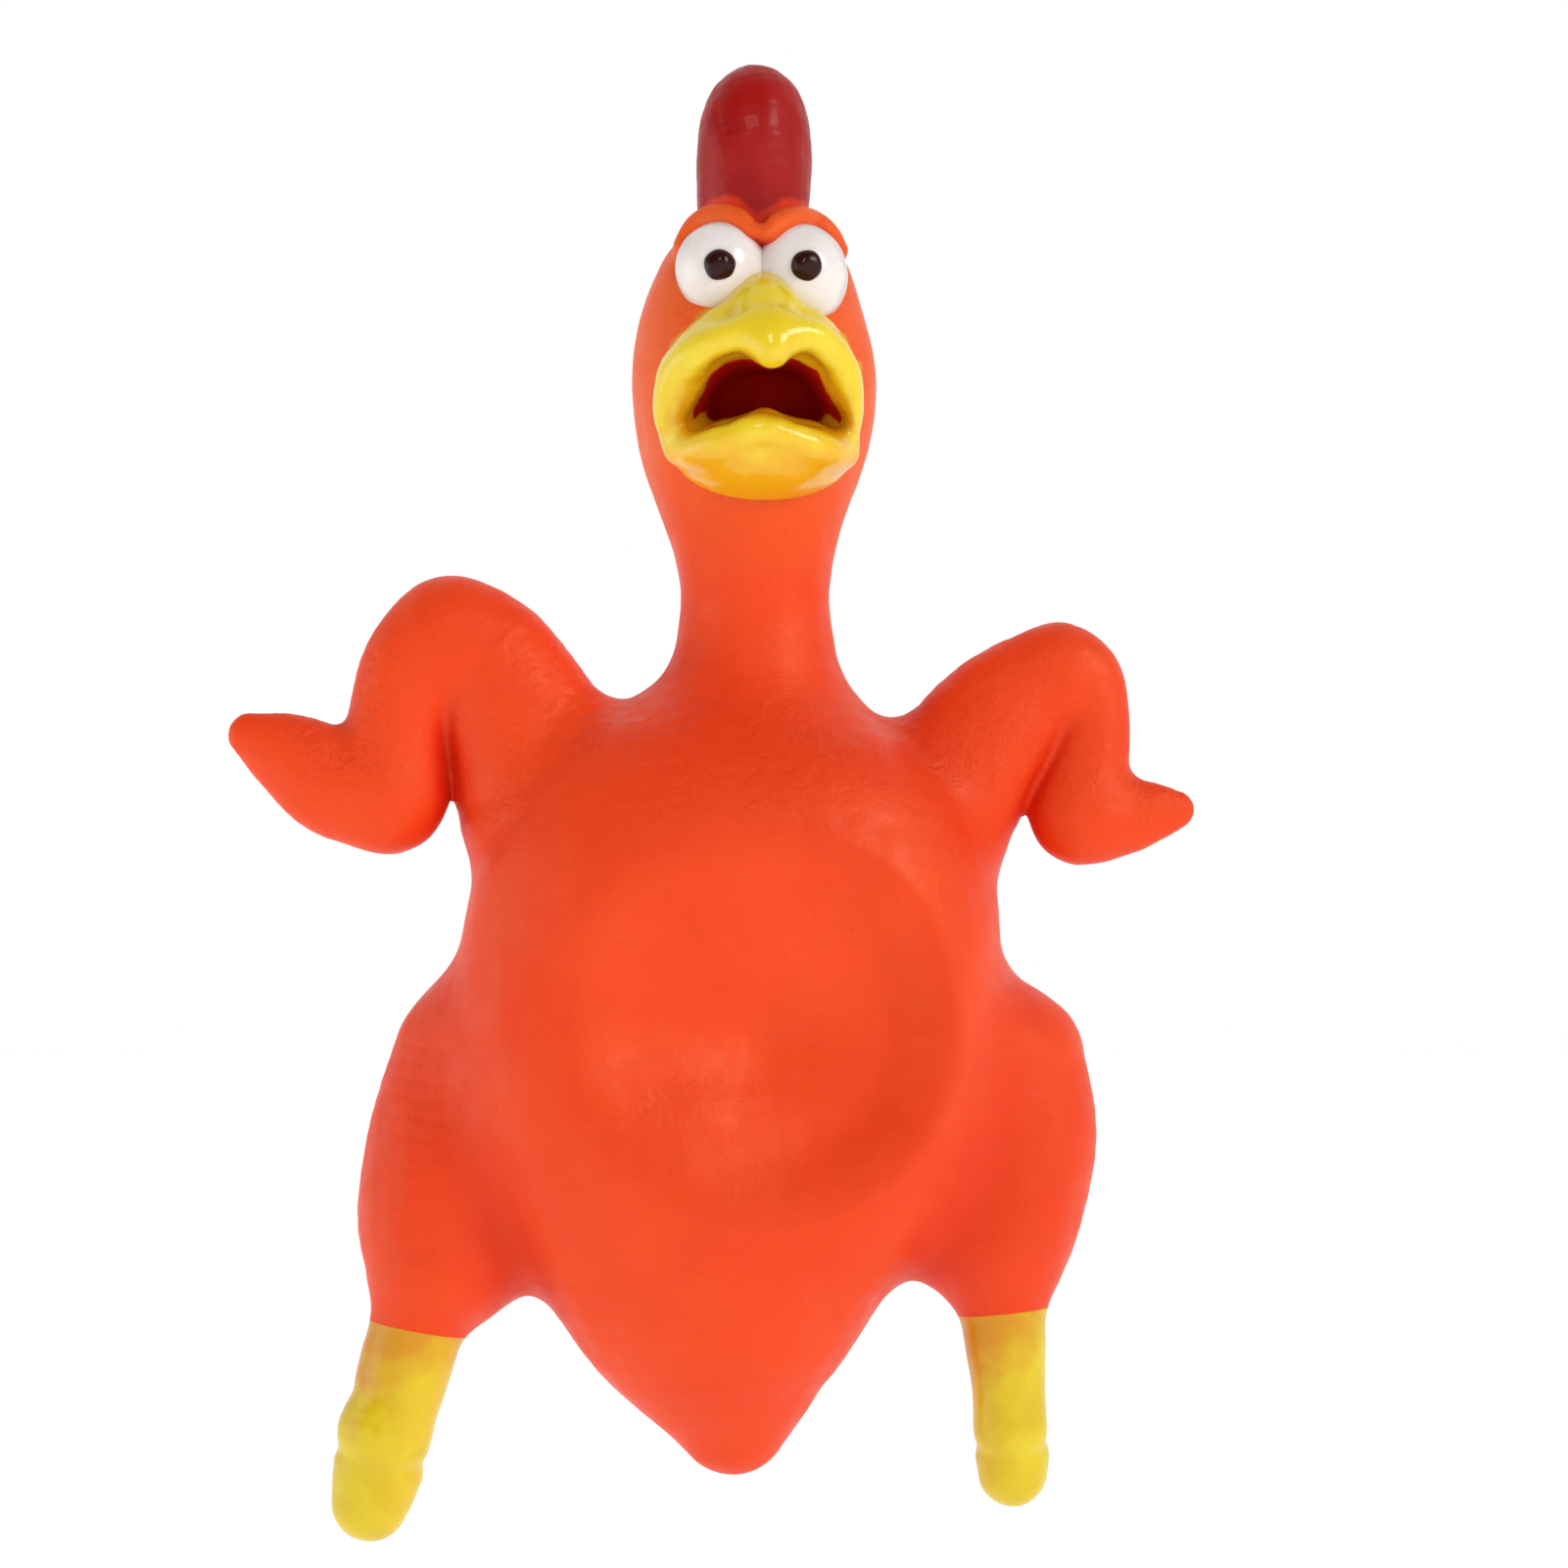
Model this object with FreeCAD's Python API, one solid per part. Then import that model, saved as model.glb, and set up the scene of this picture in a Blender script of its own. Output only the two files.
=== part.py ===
"""Squeezable latex rubber chicken with a reed whistle in its throat.

Millimetres. +Z is up, the chicken faces -Y, and its own left side is +X.
The origin is the middle of the torso, where a hand closes round it.
The moulding is hollow. It is divided at the places where the latex flexes, and where
a separately painted feature stands on it.
"""
import FreeCAD
import Part
import math
import os

from FreeCAD import Vector

# ---- driving dimensions -------------------------------------------------------------
WALL = 1.6                 # latex thickness of the moulding
SOFT_GAP = 0.3             # room between two parts of the moulding that move on each other
RING_POINTS = 16           # points that shape one cross-section
SEW_TOLERANCE = 1e-4

TORSO_HALF_WIDTH = 36.5
TORSO_HALF_DEPTH = 26.0
TORSO_TOP = 44.3
TAIL_TOP = -38.0
TAIL_END = -60.1
BODY_PASSAGE = 5.0         # radius of the air way from the torso into a thigh

BELLY_X = 4.0              # middle of the pressed patch
BELLY_RADIUS = 24.0
BELLY_RIM_Y = -19.5
BELLY_FLOOR_Y = -11.5

NECK_X = 2.0
NECK_PIVOT_Z = 42.5        # the neck leans sideways here
NECK_BALL = 9.6
HEAD_PIVOT_Z = 54.0        # the head nods here
HEAD_BALL = 8.6
NECK_BORE = 5.2            # radius of the air way through the neck

HEAD_X = 1.7
HEAD_HALF_WIDTH = 16.4
HEAD_HALF_DEPTH = 15.5
HEAD_TOP = 112.4

FACE_X = 3.2               # the face is a little to the chicken's left of the skull
MOUTH_Z = 86.0
MOUTH_HALF_WIDTH = 9.2
MOUTH_HALF_HEIGHT = 4.9
MOUTH_FRONT_Y = -40.0      # well in front of the beak
LINING_FRONT_Y = -10.0
LINING_BACK_Y = 1.0
THROAT_RADIUS = 3.0        # hole in the lining's floor, over the whistle
BEAK_Y = -12.0
BEAK_WALL = 2.2
BEAK_PARTING_Z = 84.0      # the upper and lower beak meet at the corners of the mouth

EYE_Y = -9.6
PUPIL_RADIUS = 2.1
COMB_TOP = 130.6
COMB_HALF_WIDTH = 7.8
COMB_HALF_DEPTH = 11.0
COMB_Y = 2.0

SHOULDER_BALL = 10.5
SHOULDER_LIMB = 7.2        # the upper wing's radius where it leaves the ball
WING_DEPTH_RATIO = 0.8     # a wing is a little flatter front to back than it is wide

HIP_BALL = 7.4
HIP_Z = -32.5
SHANK_RADIUS = 5.8

WHISTLE_RADIUS = 7.8
WHISTLE_BOTTOM = 63.6
WHISTLE_TOP = 79.6
WHISTLE_WALL = 1.2
WHISTLE_RIDGE = 0.7        # how far the two gripping ridges stand out
REED_WIDTH = 4.4
REED_LENGTH = 10.5
REED_THICKNESS = 0.25
REED_LIFT_DEG = 5.0        # the relaxed reed stands this far off its seat
SEAT_HALF_WIDTH = 3.0

X_AXIS = Vector(1, 0, 0)
Y_AXIS = Vector(0, 1, 0)
Z_AXIS = Vector(0, 0, 1)

# One wing from shoulder to tip: centre lines in (x, z), and half widths.
WINGS = {
    "right": {
        "shoulder": (-28.0, 34.5), "bend": (-32.6, 44.5), "elbow": (-39.0, 51.0), "turn": (-45.4, 44.6),
        "wrist": (-46.6, 31.6), "hand": (-51.5, 30.6), "tip": (-68.4, 40.2),
        "bend_half": 8.6, "elbow_half": 10.0, "turn_half": 7.6, "wrist_half": 7.3, "hand_half": 5.6,
    },
    "left": {
        "shoulder": (28.0, 34.0), "bend": (34.4, 43.4), "elbow": (43.6, 48.8), "turn": (48.0, 42.6),
        "wrist": (46.0, 29.4), "hand": (50.0, 28.2), "tip": (60.4, 30.0),
        "bend_half": 7.9, "elbow_half": 6.2, "turn_half": 5.4, "wrist_half": 6.6, "hand_half": 5.2,
    },
}

# One leg from hip to toe: thigh centres at fixed heights, then shank, ankle and sole.
LEGS = {
    "right": {
        "thigh": ((-37.0, 4.0, 5.0), (-37.5, -4.0, 8.5), (-38.8, -14.0, 10.4), (-40.8, -24.0, 11.0)),
        "hip": (-41.6, 10.6), "paint": (-44.3, -40.6), "ankle": (-46.3, -52.4), "ball": (-48.4, -58.2),
        "sole": (-49.6, -69.3), "leg_half": 6.2, "ball_half": 6.9,
    },
    "left": {
        "thigh": ((39.0, 4.0, 5.0), (38.5, -4.0, 8.5), (38.4, -14.0, 10.2), (37.2, -24.0, 10.6)),
        "hip": (35.6, 9.8), "paint": (35.6, -39.0), "ankle": (36.2, -50.4), "ball": (36.7, -56.4),
        "sole": (36.9, -64.9), "leg_half": 5.7, "ball_half": 5.7,
    },
}


# ---- shape tools --------------------------------------------------------------------
def flat(point, y=0.0):
    """A point of the front view, given as (x, z), in space."""
    return Vector(point[0], y, point[1])


def ring(centre, along, half_width, half_depth):
    """Points round an oval square to `along`, a direction with no Y part. The last repeats the first."""
    along = Vector(along)
    along.normalize()
    across = Vector(along.z, 0, -along.x)
    points = []
    for step in range(RING_POINTS + 1):
        turn = 2 * math.pi * (step % RING_POINTS) / RING_POINTS
        points.append(centre + across * (half_width * math.cos(turn)) + Y_AXIS * (half_depth * math.sin(turn)))
    return points


def loft(sections, thinner=0.0):
    """A solid through (centre, along, half_width, half_depth) sections, each less by `thinner` all round."""
    rings = []
    for centre, along, half_width, half_depth in sections:
        rings.append(ring(centre, along, half_width - thinner, half_depth - thinner))
    side = Part.BSplineSurface()
    side.interpolate(rings)
    first, last = side.bounds()[:2]
    faces = [side.toShape()]
    for end in (first, last):
        faces.append(Part.Face(Part.Wire([side.uIso(end).toShape()])))
    skin = Part.Shape(Part.makeShell(faces))
    skin.sewShape(SEW_TOLERANCE)
    solid = Part.makeSolid(skin.Shells[0])
    if solid.Volume < 0:
        solid.reverse()
    return solid


def upright(rows):
    """Sections square to Z from (x, y, z, half_width, half_depth) rows."""
    return [(Vector(x, y, z), Z_AXIS, half_width, half_depth) for x, y, z, half_width, half_depth in rows]


def ball(centre, radius):
    return Part.makeSphere(radius, centre)


def egg(centre, half_x, half_y, half_z):
    """An ellipsoid."""
    unit = Part.makeSphere(1.0)
    matrix = FreeCAD.Matrix()
    matrix.scale(half_x, half_y, half_z)
    shape = unit.transformGeometry(matrix)
    shape.translate(centre)
    return shape


def bar_along(axis, centre, radius, length):
    """A round bar of that length with its middle at centre."""
    return Part.makeCylinder(radius, length, centre - axis * (length / 2), axis)


def block(low, high):
    size = high - low
    return Part.makeBox(size.x, size.y, size.z, low)


BIG = 400.0


def above(z):
    return block(Vector(-BIG, -BIG, z), Vector(BIG, BIG, BIG))


def below(z):
    return block(Vector(-BIG, -BIG, -BIG), Vector(BIG, BIG, z))


def one_solid(shape):
    """The largest solid of a shape, which leaves out slivers that a cut frees."""
    return max(shape.Solids, key=lambda solid: solid.Volume)


# ---- torso --------------------------------------------------------------------------
TORSO_ROWS = [
    (-1.0, 0, TAIL_TOP, 22.5, 17.5),
    (0, 0, -26.0, 31.0, 23.0),
    (0, 0, -8.0, TORSO_HALF_WIDTH, TORSO_HALF_DEPTH),
    (0, 0, 12.0, 36.0, 25.0),
    (0, 0, 28.0, 32.0, 20.5),
    (1.0, 0, 38.0, 24.0, 16.5),
    (NECK_X, 0, TORSO_TOP, 13.6, 13.0),
]

TAIL_ROWS = [
    (-1.6, 0, TAIL_END, 3.6, 3.4),
    (-1.6, 0, -57.5, 7.6, 6.6),
    (-1.5, 0, -49.0, 14.4, 11.6),
    (-1.0, 0, TAIL_TOP, 22.5, 17.5),
]


def shoulder_of(side):
    return flat(WINGS[side]["shoulder"])


def hip_of(side):
    return Vector(LEGS[side]["hip"][0], 0, HIP_Z)


def torso_outer():
    return loft(upright(TORSO_ROWS))


def torso_shell():
    """Barrel of the body, open at the neck, the shoulders, the belly and the tail."""
    shape = torso_outer().cut(loft(upright(TORSO_ROWS), WALL))
    shape = shape.cut(ball(Vector(NECK_X, 0, NECK_PIVOT_Z), NECK_BALL + SOFT_GAP))
    for side in ("left", "right"):
        shape = shape.cut(ball(shoulder_of(side), SHOULDER_BALL + SOFT_GAP))
        shape = shape.cut(ball(hip_of(side), HIP_BALL + SOFT_GAP))
        thigh_x = LEGS[side]["thigh"][2][0]
        thigh_z = LEGS[side]["thigh"][2][1]
        shape = shape.cut(bar_along(X_AXIS, Vector(thigh_x, 0, thigh_z), BODY_PASSAGE, 2 * SHOULDER_BALL))
    mouth_of_belly = Part.makeCylinder(BELLY_RADIUS + SOFT_GAP, BIG, Vector(BELLY_X, 0, 0), -Y_AXIS)
    return one_solid(shape.cut(mouth_of_belly))


def tail_shell():
    """Pointed lower end of the body."""
    outer = loft(upright(TAIL_ROWS))
    inner = loft(upright(TAIL_ROWS[1:]), WALL)
    return one_solid(outer.cut(inner))


def belly_panel():
    """Patch of the belly that a thumb presses in: a dish that is hollow to the front."""
    sag = BELLY_FLOOR_Y - BELLY_RIM_Y
    radius = (BELLY_RADIUS ** 2 + sag ** 2) / (2 * sag)
    centre = Vector(BELLY_X, BELLY_FLOOR_Y - radius, 0)
    dish = ball(centre, radius + WALL).cut(ball(centre, radius))
    plug = Part.makeCylinder(BELLY_RADIUS, BIG, Vector(BELLY_X, BELLY_RIM_Y, 0), Y_AXIS)
    return one_solid(dish.common(plug))


# ---- neck and head ------------------------------------------------------------------
HEAD_ROWS = [
    (NECK_X, 0, HEAD_PIVOT_Z + 0.5, 10.8, 10.6),
    (NECK_X, 0, 62.0, 10.9, 10.8),
    (HEAD_X, 0, 76.0, 14.6, 13.8),
    (HEAD_X, 0, 87.0, HEAD_HALF_WIDTH, HEAD_HALF_DEPTH),
    (HEAD_X, 0, 98.0, 15.4, 14.6),
    (HEAD_X, 0, 106.0, 11.6, 11.6),
    (HEAD_X, 0, 110.6, 7.0, 7.4),
    (HEAD_X, 0, HEAD_TOP, 3.0, 3.4),
]

COMB_ROWS = [
    (HEAD_X, COMB_Y, 104.0, 6.6, 9.4),
    (HEAD_X, COMB_Y, 112.0, 7.4, 10.2),
    (HEAD_X, COMB_Y, 120.0, COMB_HALF_WIDTH, COMB_HALF_DEPTH),
    (HEAD_X, COMB_Y, 126.5, 6.3, 8.6),
    (HEAD_X, COMB_Y, COMB_TOP, 2.6, 4.6),
]

EYES = {"right": (-3.1, 103.2, 5.8), "left": (9.3, 102.7, 6.1)}


def neck_shell():
    """Short flexing neck with a round end in the body and a round end in the head."""
    low = Vector(NECK_X, 0, NECK_PIVOT_Z)
    high = Vector(NECK_X, 0, HEAD_PIVOT_Z)
    outer = ball(low, NECK_BALL).fuse(ball(high, HEAD_BALL))
    inner = ball(low, NECK_BALL - WALL).fuse(ball(high, HEAD_BALL - WALL))
    airway = Part.makeCylinder(NECK_BORE, 4 * NECK_BALL, low - Z_AXIS * (2 * NECK_BALL))
    return one_solid(outer.cut(inner).cut(airway))


def head_outer():
    return loft(upright(HEAD_ROWS))


def mouth_bar(clearance=0.0, front=MOUTH_FRONT_Y, back=0.0):
    """Oval bar along Y through the mouth."""
    outline = Part.Ellipse(Vector(0, 0, 0), MOUTH_HALF_WIDTH + clearance, MOUTH_HALF_HEIGHT + clearance)
    face = Part.Face(Part.Wire([outline.toShape()]))
    face.rotate(Vector(0, 0, 0), X_AXIS, 90)
    face.translate(Vector(FACE_X, front, MOUTH_Z))
    return face.extrude(Y_AXIS * (back - front))


def head_shell():
    """Skull and upper neck, open below for the neck and in front for the mouth."""
    inner = loft(upright(HEAD_ROWS[:-1]), WALL)
    shape = head_outer().cut(inner)
    shape = shape.cut(ball(Vector(NECK_X, 0, HEAD_PIVOT_Z), HEAD_BALL + SOFT_GAP))
    return one_solid(shape.cut(mouth_bar(WALL)))


def mouth_lining():
    """Dark cup behind the beak, open in front and open below to the whistle."""
    outer = mouth_bar(1.0, LINING_FRONT_Y, LINING_BACK_Y + 1.0)
    inner = mouth_bar(0.0, LINING_FRONT_Y, LINING_BACK_Y)
    throat_top = Vector(FACE_X, LINING_BACK_Y - THROAT_RADIUS - 1.0, MOUTH_Z)
    throat = Part.makeCylinder(THROAT_RADIUS, 2 * MOUTH_HALF_HEIGHT, throat_top, -Z_AXIS)
    return one_solid(outer.cut(inner).cut(throat))


def upper_beak_egg(thinner=0.0):
    return egg(Vector(2.6, BEAK_Y, 88.0), 14.2 - thinner, 14.0 - thinner, 14.3 - thinner)


def lower_beak_egg(thinner=0.0):
    return egg(Vector(3.3, BEAK_Y, 84.6), 13.0 - thinner, 11.0 - thinner, 13.2 - thinner)


def upper_beak(head):
    """Hood of the open beak, above the corners of the mouth."""
    shape = upper_beak_egg().cut(upper_beak_egg(BEAK_WALL)).common(above(BEAK_PARTING_Z))
    return one_solid(shape.cut(head).cut(mouth_bar()))


def lower_beak(head):
    """Scoop of the open beak, below the corners of the mouth."""
    shape = lower_beak_egg().cut(lower_beak_egg(BEAK_WALL)).common(below(BEAK_PARTING_Z))
    return one_solid(shape.cut(head).cut(mouth_bar()))


def eye_ball(side):
    x, z, radius = EYES[side]
    return ball(Vector(x, EYE_Y, z), radius)


def eye(side, head):
    """Bulging white of one eye, standing on the face above the beak."""
    return one_solid(eye_ball(side).cut(head).cut(upper_beak_egg()))


def pupil(side):
    """Raised dark bead on the front of an eye."""
    x, z, radius = EYES[side]
    bead = ball(Vector(x, EYE_Y - radius, z), PUPIL_RADIUS)
    return one_solid(bead.cut(eye_ball(side)))


def comb(head):
    """Tall rounded comb on the crown."""
    shape = loft(upright(COMB_ROWS)).cut(loft(upright(COMB_ROWS[:-1]), WALL))
    return one_solid(shape.cut(head))


# ---- wings --------------------------------------------------------------------------
def wing_sections(side):
    """Upper wing and fore wing sections, which share the one at the elbow."""
    wing = WINGS[side]
    outward = 1 if side == "left" else -1
    shoulder = flat(wing["shoulder"])
    bend = flat(wing["bend"])
    elbow = flat(wing["elbow"])
    turn = flat(wing["turn"])
    wrist = flat(wing["wrist"])

    def section(centre, along, half):
        return (centre, along, half, half * WING_DEPTH_RATIO)

    start = shoulder + (bend - shoulder) * 0.3
    at_elbow = section(elbow, X_AXIS * outward, wing["elbow_half"])
    upper = [
        section(start, bend - shoulder, SHOULDER_LIMB),
        section(bend, Vector(outward * 0.62, 0, 0.78), wing["bend_half"]),
        at_elbow,
    ]
    fore = [
        at_elbow,
        section(turn, Vector(outward * 0.66, 0, -0.75), wing["turn_half"]),
        section(wrist, -Z_AXIS, wing["wrist_half"]),
    ]
    return upper, fore


def upper_wing(side):
    """Shoulder ball and upper wing, open at the elbow."""
    sections = wing_sections(side)[0]
    shoulder = shoulder_of(side)
    outer = ball(shoulder, SHOULDER_BALL).fuse(loft(sections))
    inner = ball(shoulder, SHOULDER_BALL - WALL).fuse(loft(sections, WALL))
    to_body = Vector(-shoulder.x, 0, 0)
    to_body.normalize()
    airway = Part.makeCylinder(BODY_PASSAGE, 2 * SHOULDER_BALL, shoulder, to_body)
    return one_solid(outer.cut(inner).cut(airway))


def fore_wing_sections(side):
    """Fore wing sections down to the rounded end below the wrist."""
    wing = WINGS[side]
    wrist = flat(wing["wrist"])
    half = wing["wrist_half"]
    sections = wing_sections(side)[1]
    for drop, share in ((0.62, 0.8), (1.0, 0.3)):
        centre = wrist - Z_AXIS * (half * drop)
        sections.append((centre, -Z_AXIS, half * share, half * share * WING_DEPTH_RATIO))
    return sections


def fore_wing_outer(side):
    return loft(fore_wing_sections(side))


def fore_wing(side):
    """Fore wing from the elbow down to its rounded wrist."""
    return one_solid(fore_wing_outer(side).cut(loft(fore_wing_sections(side)[:-1], WALL)))


def wing_tip(side):
    """Pointed hand feathers beyond the wrist."""
    wing = WINGS[side]
    outward = 1 if side == "left" else -1
    wrist = flat(wing["wrist"])
    hand = flat(wing["hand"])
    tip = flat(wing["tip"])
    middle = hand + (tip - hand) * 0.55
    half = wing["hand_half"]
    sections = [
        (wrist, Vector(outward, 0, 0.1), half, half * WING_DEPTH_RATIO),
        (hand, Vector(outward, 0, 0.25), half, half * WING_DEPTH_RATIO),
        (middle, tip - hand, half * 0.8, half * 0.6),
        (tip, tip - hand, half * 0.22, half * 0.25),
    ]
    return one_solid(loft(sections).cut(fore_wing_outer(side)))


# ---- legs ---------------------------------------------------------------------------
def thigh(side, torso):
    """Round thigh on the side of the body, open below for the shank."""
    leg = LEGS[side]
    hip_x, hip_half = leg["hip"]
    rows = [(hip_x, 0, HIP_Z + 0.5, hip_half, 11.5)]
    for x, z, half in reversed(leg["thigh"]):
        rows.append((x, 0, z, half, half + 1.6))
    shape = loft(upright(rows)).cut(loft(upright(rows[:-1]), WALL))
    shape = shape.cut(ball(hip_of(side), HIP_BALL + SOFT_GAP))
    return one_solid(shape.cut(torso))


def shank(side):
    """Orange stub below the thigh, with a round end in it."""
    leg = LEGS[side]
    hip = hip_of(side)
    paint = flat(leg["paint"])
    along = paint - hip
    rows = [
        (hip, along, SHANK_RADIUS, SHANK_RADIUS),
        (paint, -Z_AXIS, leg["leg_half"], leg["leg_half"]),
    ]
    outer = ball(hip, HIP_BALL).fuse(loft(rows))
    inner = ball(hip, HIP_BALL - WALL).fuse(loft(rows, WALL))
    airway = Part.makeCylinder(BODY_PASSAGE, 2 * HIP_BALL, hip, Z_AXIS)
    return one_solid(outer.cut(inner).cut(airway))


def painted_leg(side):
    """Yellow leg from the paint line to the crease above the toes."""
    leg = LEGS[side]
    half = leg["leg_half"]
    rows = [
        (flat(leg["paint"]), -Z_AXIS, half, half),
        (flat(leg["ankle"]), -Z_AXIS, half - 0.3, half - 0.3),
        (flat(leg["ball"]), -Z_AXIS, leg["ball_half"], leg["ball_half"]),
    ]
    return one_solid(loft(rows).cut(loft(rows, WALL)))


def foot(side):
    """Rounded toe pad that closes the end of the leg."""
    leg = LEGS[side]
    ball_of_foot = flat(leg["ball"])
    sole = flat(leg["sole"])
    half = leg["ball_half"]
    pad = ball_of_foot + (sole - ball_of_foot) * 0.6
    rows = [
        (ball_of_foot, -Z_AXIS, half, half),
        (pad, -Z_AXIS, half * 0.9, half * 0.9),
        (sole, -Z_AXIS, half * 0.42, half * 0.42),
    ]
    return one_solid(loft(rows).cut(loft(rows[:-1], WALL)))


# ---- whistle ------------------------------------------------------------------------
WHISTLE_CENTRE = Vector(NECK_X, 0, WHISTLE_BOTTOM)
SEAT_BASE = 2.0            # thickness of the plug that carries the reed
SEAT_TUBE_TOP = 3.0        # the seat's closed end is this far under the outlet cap
REED_ROOT_Z = WHISTLE_BOTTOM + SEAT_BASE + 1.0


def whistle_tube():
    """Plastic tube that the throat grips by two ridges."""
    length = WHISTLE_TOP - WHISTLE_BOTTOM
    tube = Part.makeCylinder(WHISTLE_RADIUS, length, WHISTLE_CENTRE)
    for share in (0.25, 0.75):
        middle = WHISTLE_CENTRE + Z_AXIS * (length * share)
        tube = tube.fuse(Part.makeCylinder(WHISTLE_RADIUS + WHISTLE_RIDGE, 1.2, middle - Z_AXIS * 0.6))
    bore = Part.makeCylinder(WHISTLE_RADIUS - WHISTLE_WALL, length, WHISTLE_CENTRE)
    return one_solid(tube.cut(bore))


def whistle_cap():
    """Pierced disc in the outlet end of the tube."""
    radius = WHISTLE_RADIUS - WHISTLE_WALL
    base = Vector(NECK_X, 0, WHISTLE_TOP - 1.2)
    disc = Part.makeCylinder(radius, 1.2, base)
    disc = disc.cut(Part.makeCylinder(1.0, 1.2, base))
    holes = 6
    for number in range(holes):
        turn = 2 * math.pi * number / holes
        offset = Vector(math.cos(turn), math.sin(turn), 0) * 3.8
        disc = disc.cut(Part.makeCylinder(1.0, 1.2, base + offset))
    return one_solid(disc)


def reed_seat():
    """Plug in the inlet end with an upright half tube, whose flat face the reed beats on."""
    radius = WHISTLE_RADIUS - WHISTLE_WALL
    plug = Part.makeCylinder(radius, SEAT_BASE, WHISTLE_CENTRE)
    height = WHISTLE_TOP - SEAT_TUBE_TOP - WHISTLE_BOTTOM
    post = Part.makeCylinder(SEAT_HALF_WIDTH, height, WHISTLE_CENTRE)
    front = WHISTLE_CENTRE - Vector(SEAT_HALF_WIDTH, SEAT_HALF_WIDTH, 0)
    post = post.cut(Part.makeBox(2 * SEAT_HALF_WIDTH, SEAT_HALF_WIDTH, height, front))
    shape = plug.fuse(post)
    channel = Part.makeCylinder(SEAT_HALF_WIDTH - 1.1, height - 1.0, WHISTLE_CENTRE)
    slot = channel.cut(Part.makeBox(BIG, BIG, BIG, WHISTLE_CENTRE + Vector(-BIG / 2, -BIG, -1)))
    return one_solid(shape.cut(slot))


def reed_wedge():
    """Small block that clamps the reed's root on the seat."""
    low = Vector(NECK_X - REED_WIDTH / 2, -2.6, WHISTLE_BOTTOM + SEAT_BASE)
    wedge = block(low, low + Vector(REED_WIDTH, 2.6, 1.0))
    return one_solid(wedge)


def reed():
    """Thin springy strip that stands a little off its seat."""
    strip = block(Vector(-REED_WIDTH / 2, -REED_THICKNESS, 0), Vector(REED_WIDTH / 2, 0, REED_LENGTH))
    strip.rotate(Vector(0, 0, 0), X_AXIS, REED_LIFT_DEG)
    strip.translate(Vector(NECK_X, -0.35, REED_ROOT_Z + 0.1))
    return strip


# ---- all nodes ----------------------------------------------------------------------
def build():
    torso = torso_outer()
    head = head_outer()
    nodes = {
        "torso_shell": torso_shell(),
        "tail_shell": tail_shell(),
        "belly_panel": belly_panel(),
        "neck_shell": neck_shell(),
        "head_shell": head_shell(),
        "mouth_lining": mouth_lining(),
        "upper_beak": upper_beak(head),
        "lower_beak": lower_beak(head),
        "comb": comb(head),
        "whistle_tube": whistle_tube(),
        "whistle_cap": whistle_cap(),
        "reed_seat": reed_seat(),
        "reed_wedge": reed_wedge(),
        "reed": reed(),
    }
    for side in ("left", "right"):
        nodes[side + "_eye"] = eye(side, head)
        nodes[side + "_pupil"] = pupil(side)
        nodes[side + "_upper_wing"] = upper_wing(side)
        nodes[side + "_fore_wing"] = fore_wing(side)
        nodes[side + "_wing_tip"] = wing_tip(side)
        nodes[side + "_thigh"] = thigh(side, torso)
        nodes[side + "_shank"] = shank(side)
        nodes[side + "_leg"] = painted_leg(side)
        nodes[side + "_foot"] = foot(side)
    return nodes


os.makedirs("parts", exist_ok=True)
for name, shape in build().items():
    if not shape.isValid():
        print("INVALID", name)
    shape.exportStep("parts/" + name + ".step")
    low = shape.BoundBox
    print(f"{name:18s} volume {shape.Volume:9.1f}  solids {len(shape.Solids)}"
          f"  x {low.XMin:6.1f} {low.XMax:6.1f}  y {low.YMin:6.1f} {low.YMax:6.1f}  z {low.ZMin:6.1f} {low.ZMax:6.1f}")
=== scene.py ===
"""Looks of the squeezable latex chicken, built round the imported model.

The moulding is one smooth surface, worked out from rounded solids that run into each other,
and divided where the body's joints bend it. Shapes are given in millimetres in the row frame
and turned into metres when a mesh is made: +Z is up, the chicken faces -Y, its left is +X.
"""
import math

import bpy
import numpy as np
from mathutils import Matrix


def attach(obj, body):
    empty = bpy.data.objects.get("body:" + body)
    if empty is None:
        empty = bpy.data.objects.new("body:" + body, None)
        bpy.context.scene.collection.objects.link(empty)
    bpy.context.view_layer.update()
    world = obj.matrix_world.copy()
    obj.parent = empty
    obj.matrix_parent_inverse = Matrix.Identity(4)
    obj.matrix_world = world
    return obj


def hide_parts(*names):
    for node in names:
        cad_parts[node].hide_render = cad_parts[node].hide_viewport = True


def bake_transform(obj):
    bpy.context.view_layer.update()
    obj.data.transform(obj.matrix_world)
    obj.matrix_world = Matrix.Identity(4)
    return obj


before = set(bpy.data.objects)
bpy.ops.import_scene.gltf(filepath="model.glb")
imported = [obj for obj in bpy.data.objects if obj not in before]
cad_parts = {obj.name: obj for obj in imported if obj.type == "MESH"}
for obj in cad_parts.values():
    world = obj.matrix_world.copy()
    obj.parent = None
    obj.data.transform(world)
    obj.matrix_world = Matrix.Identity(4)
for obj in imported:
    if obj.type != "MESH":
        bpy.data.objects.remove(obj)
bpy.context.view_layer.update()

MM = 0.001
SKIN_PITCH = 0.7      # mm between grid points of the moulding
FINE_PITCH = 0.4      # the same for the beak, comb and eyes
COARSE_STEP = 4                         # fine cells in one coarse cell
BAND = 5.0                              # mm round the surface that is worked out finely
REACH = 12.0                            # mm beyond a shape where it still counts
RELAX_ROUNDS = 3
RELAX_SHARE = 0.6                       # of the way to its neighbours' middle that a point goes
# The next two measure how closed in the surface is, for the painted shade in folds and creases.
FOLD_REACHES = (1.5, 4.0, 8.0)          # mm out from the surface at which a fold is felt
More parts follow.
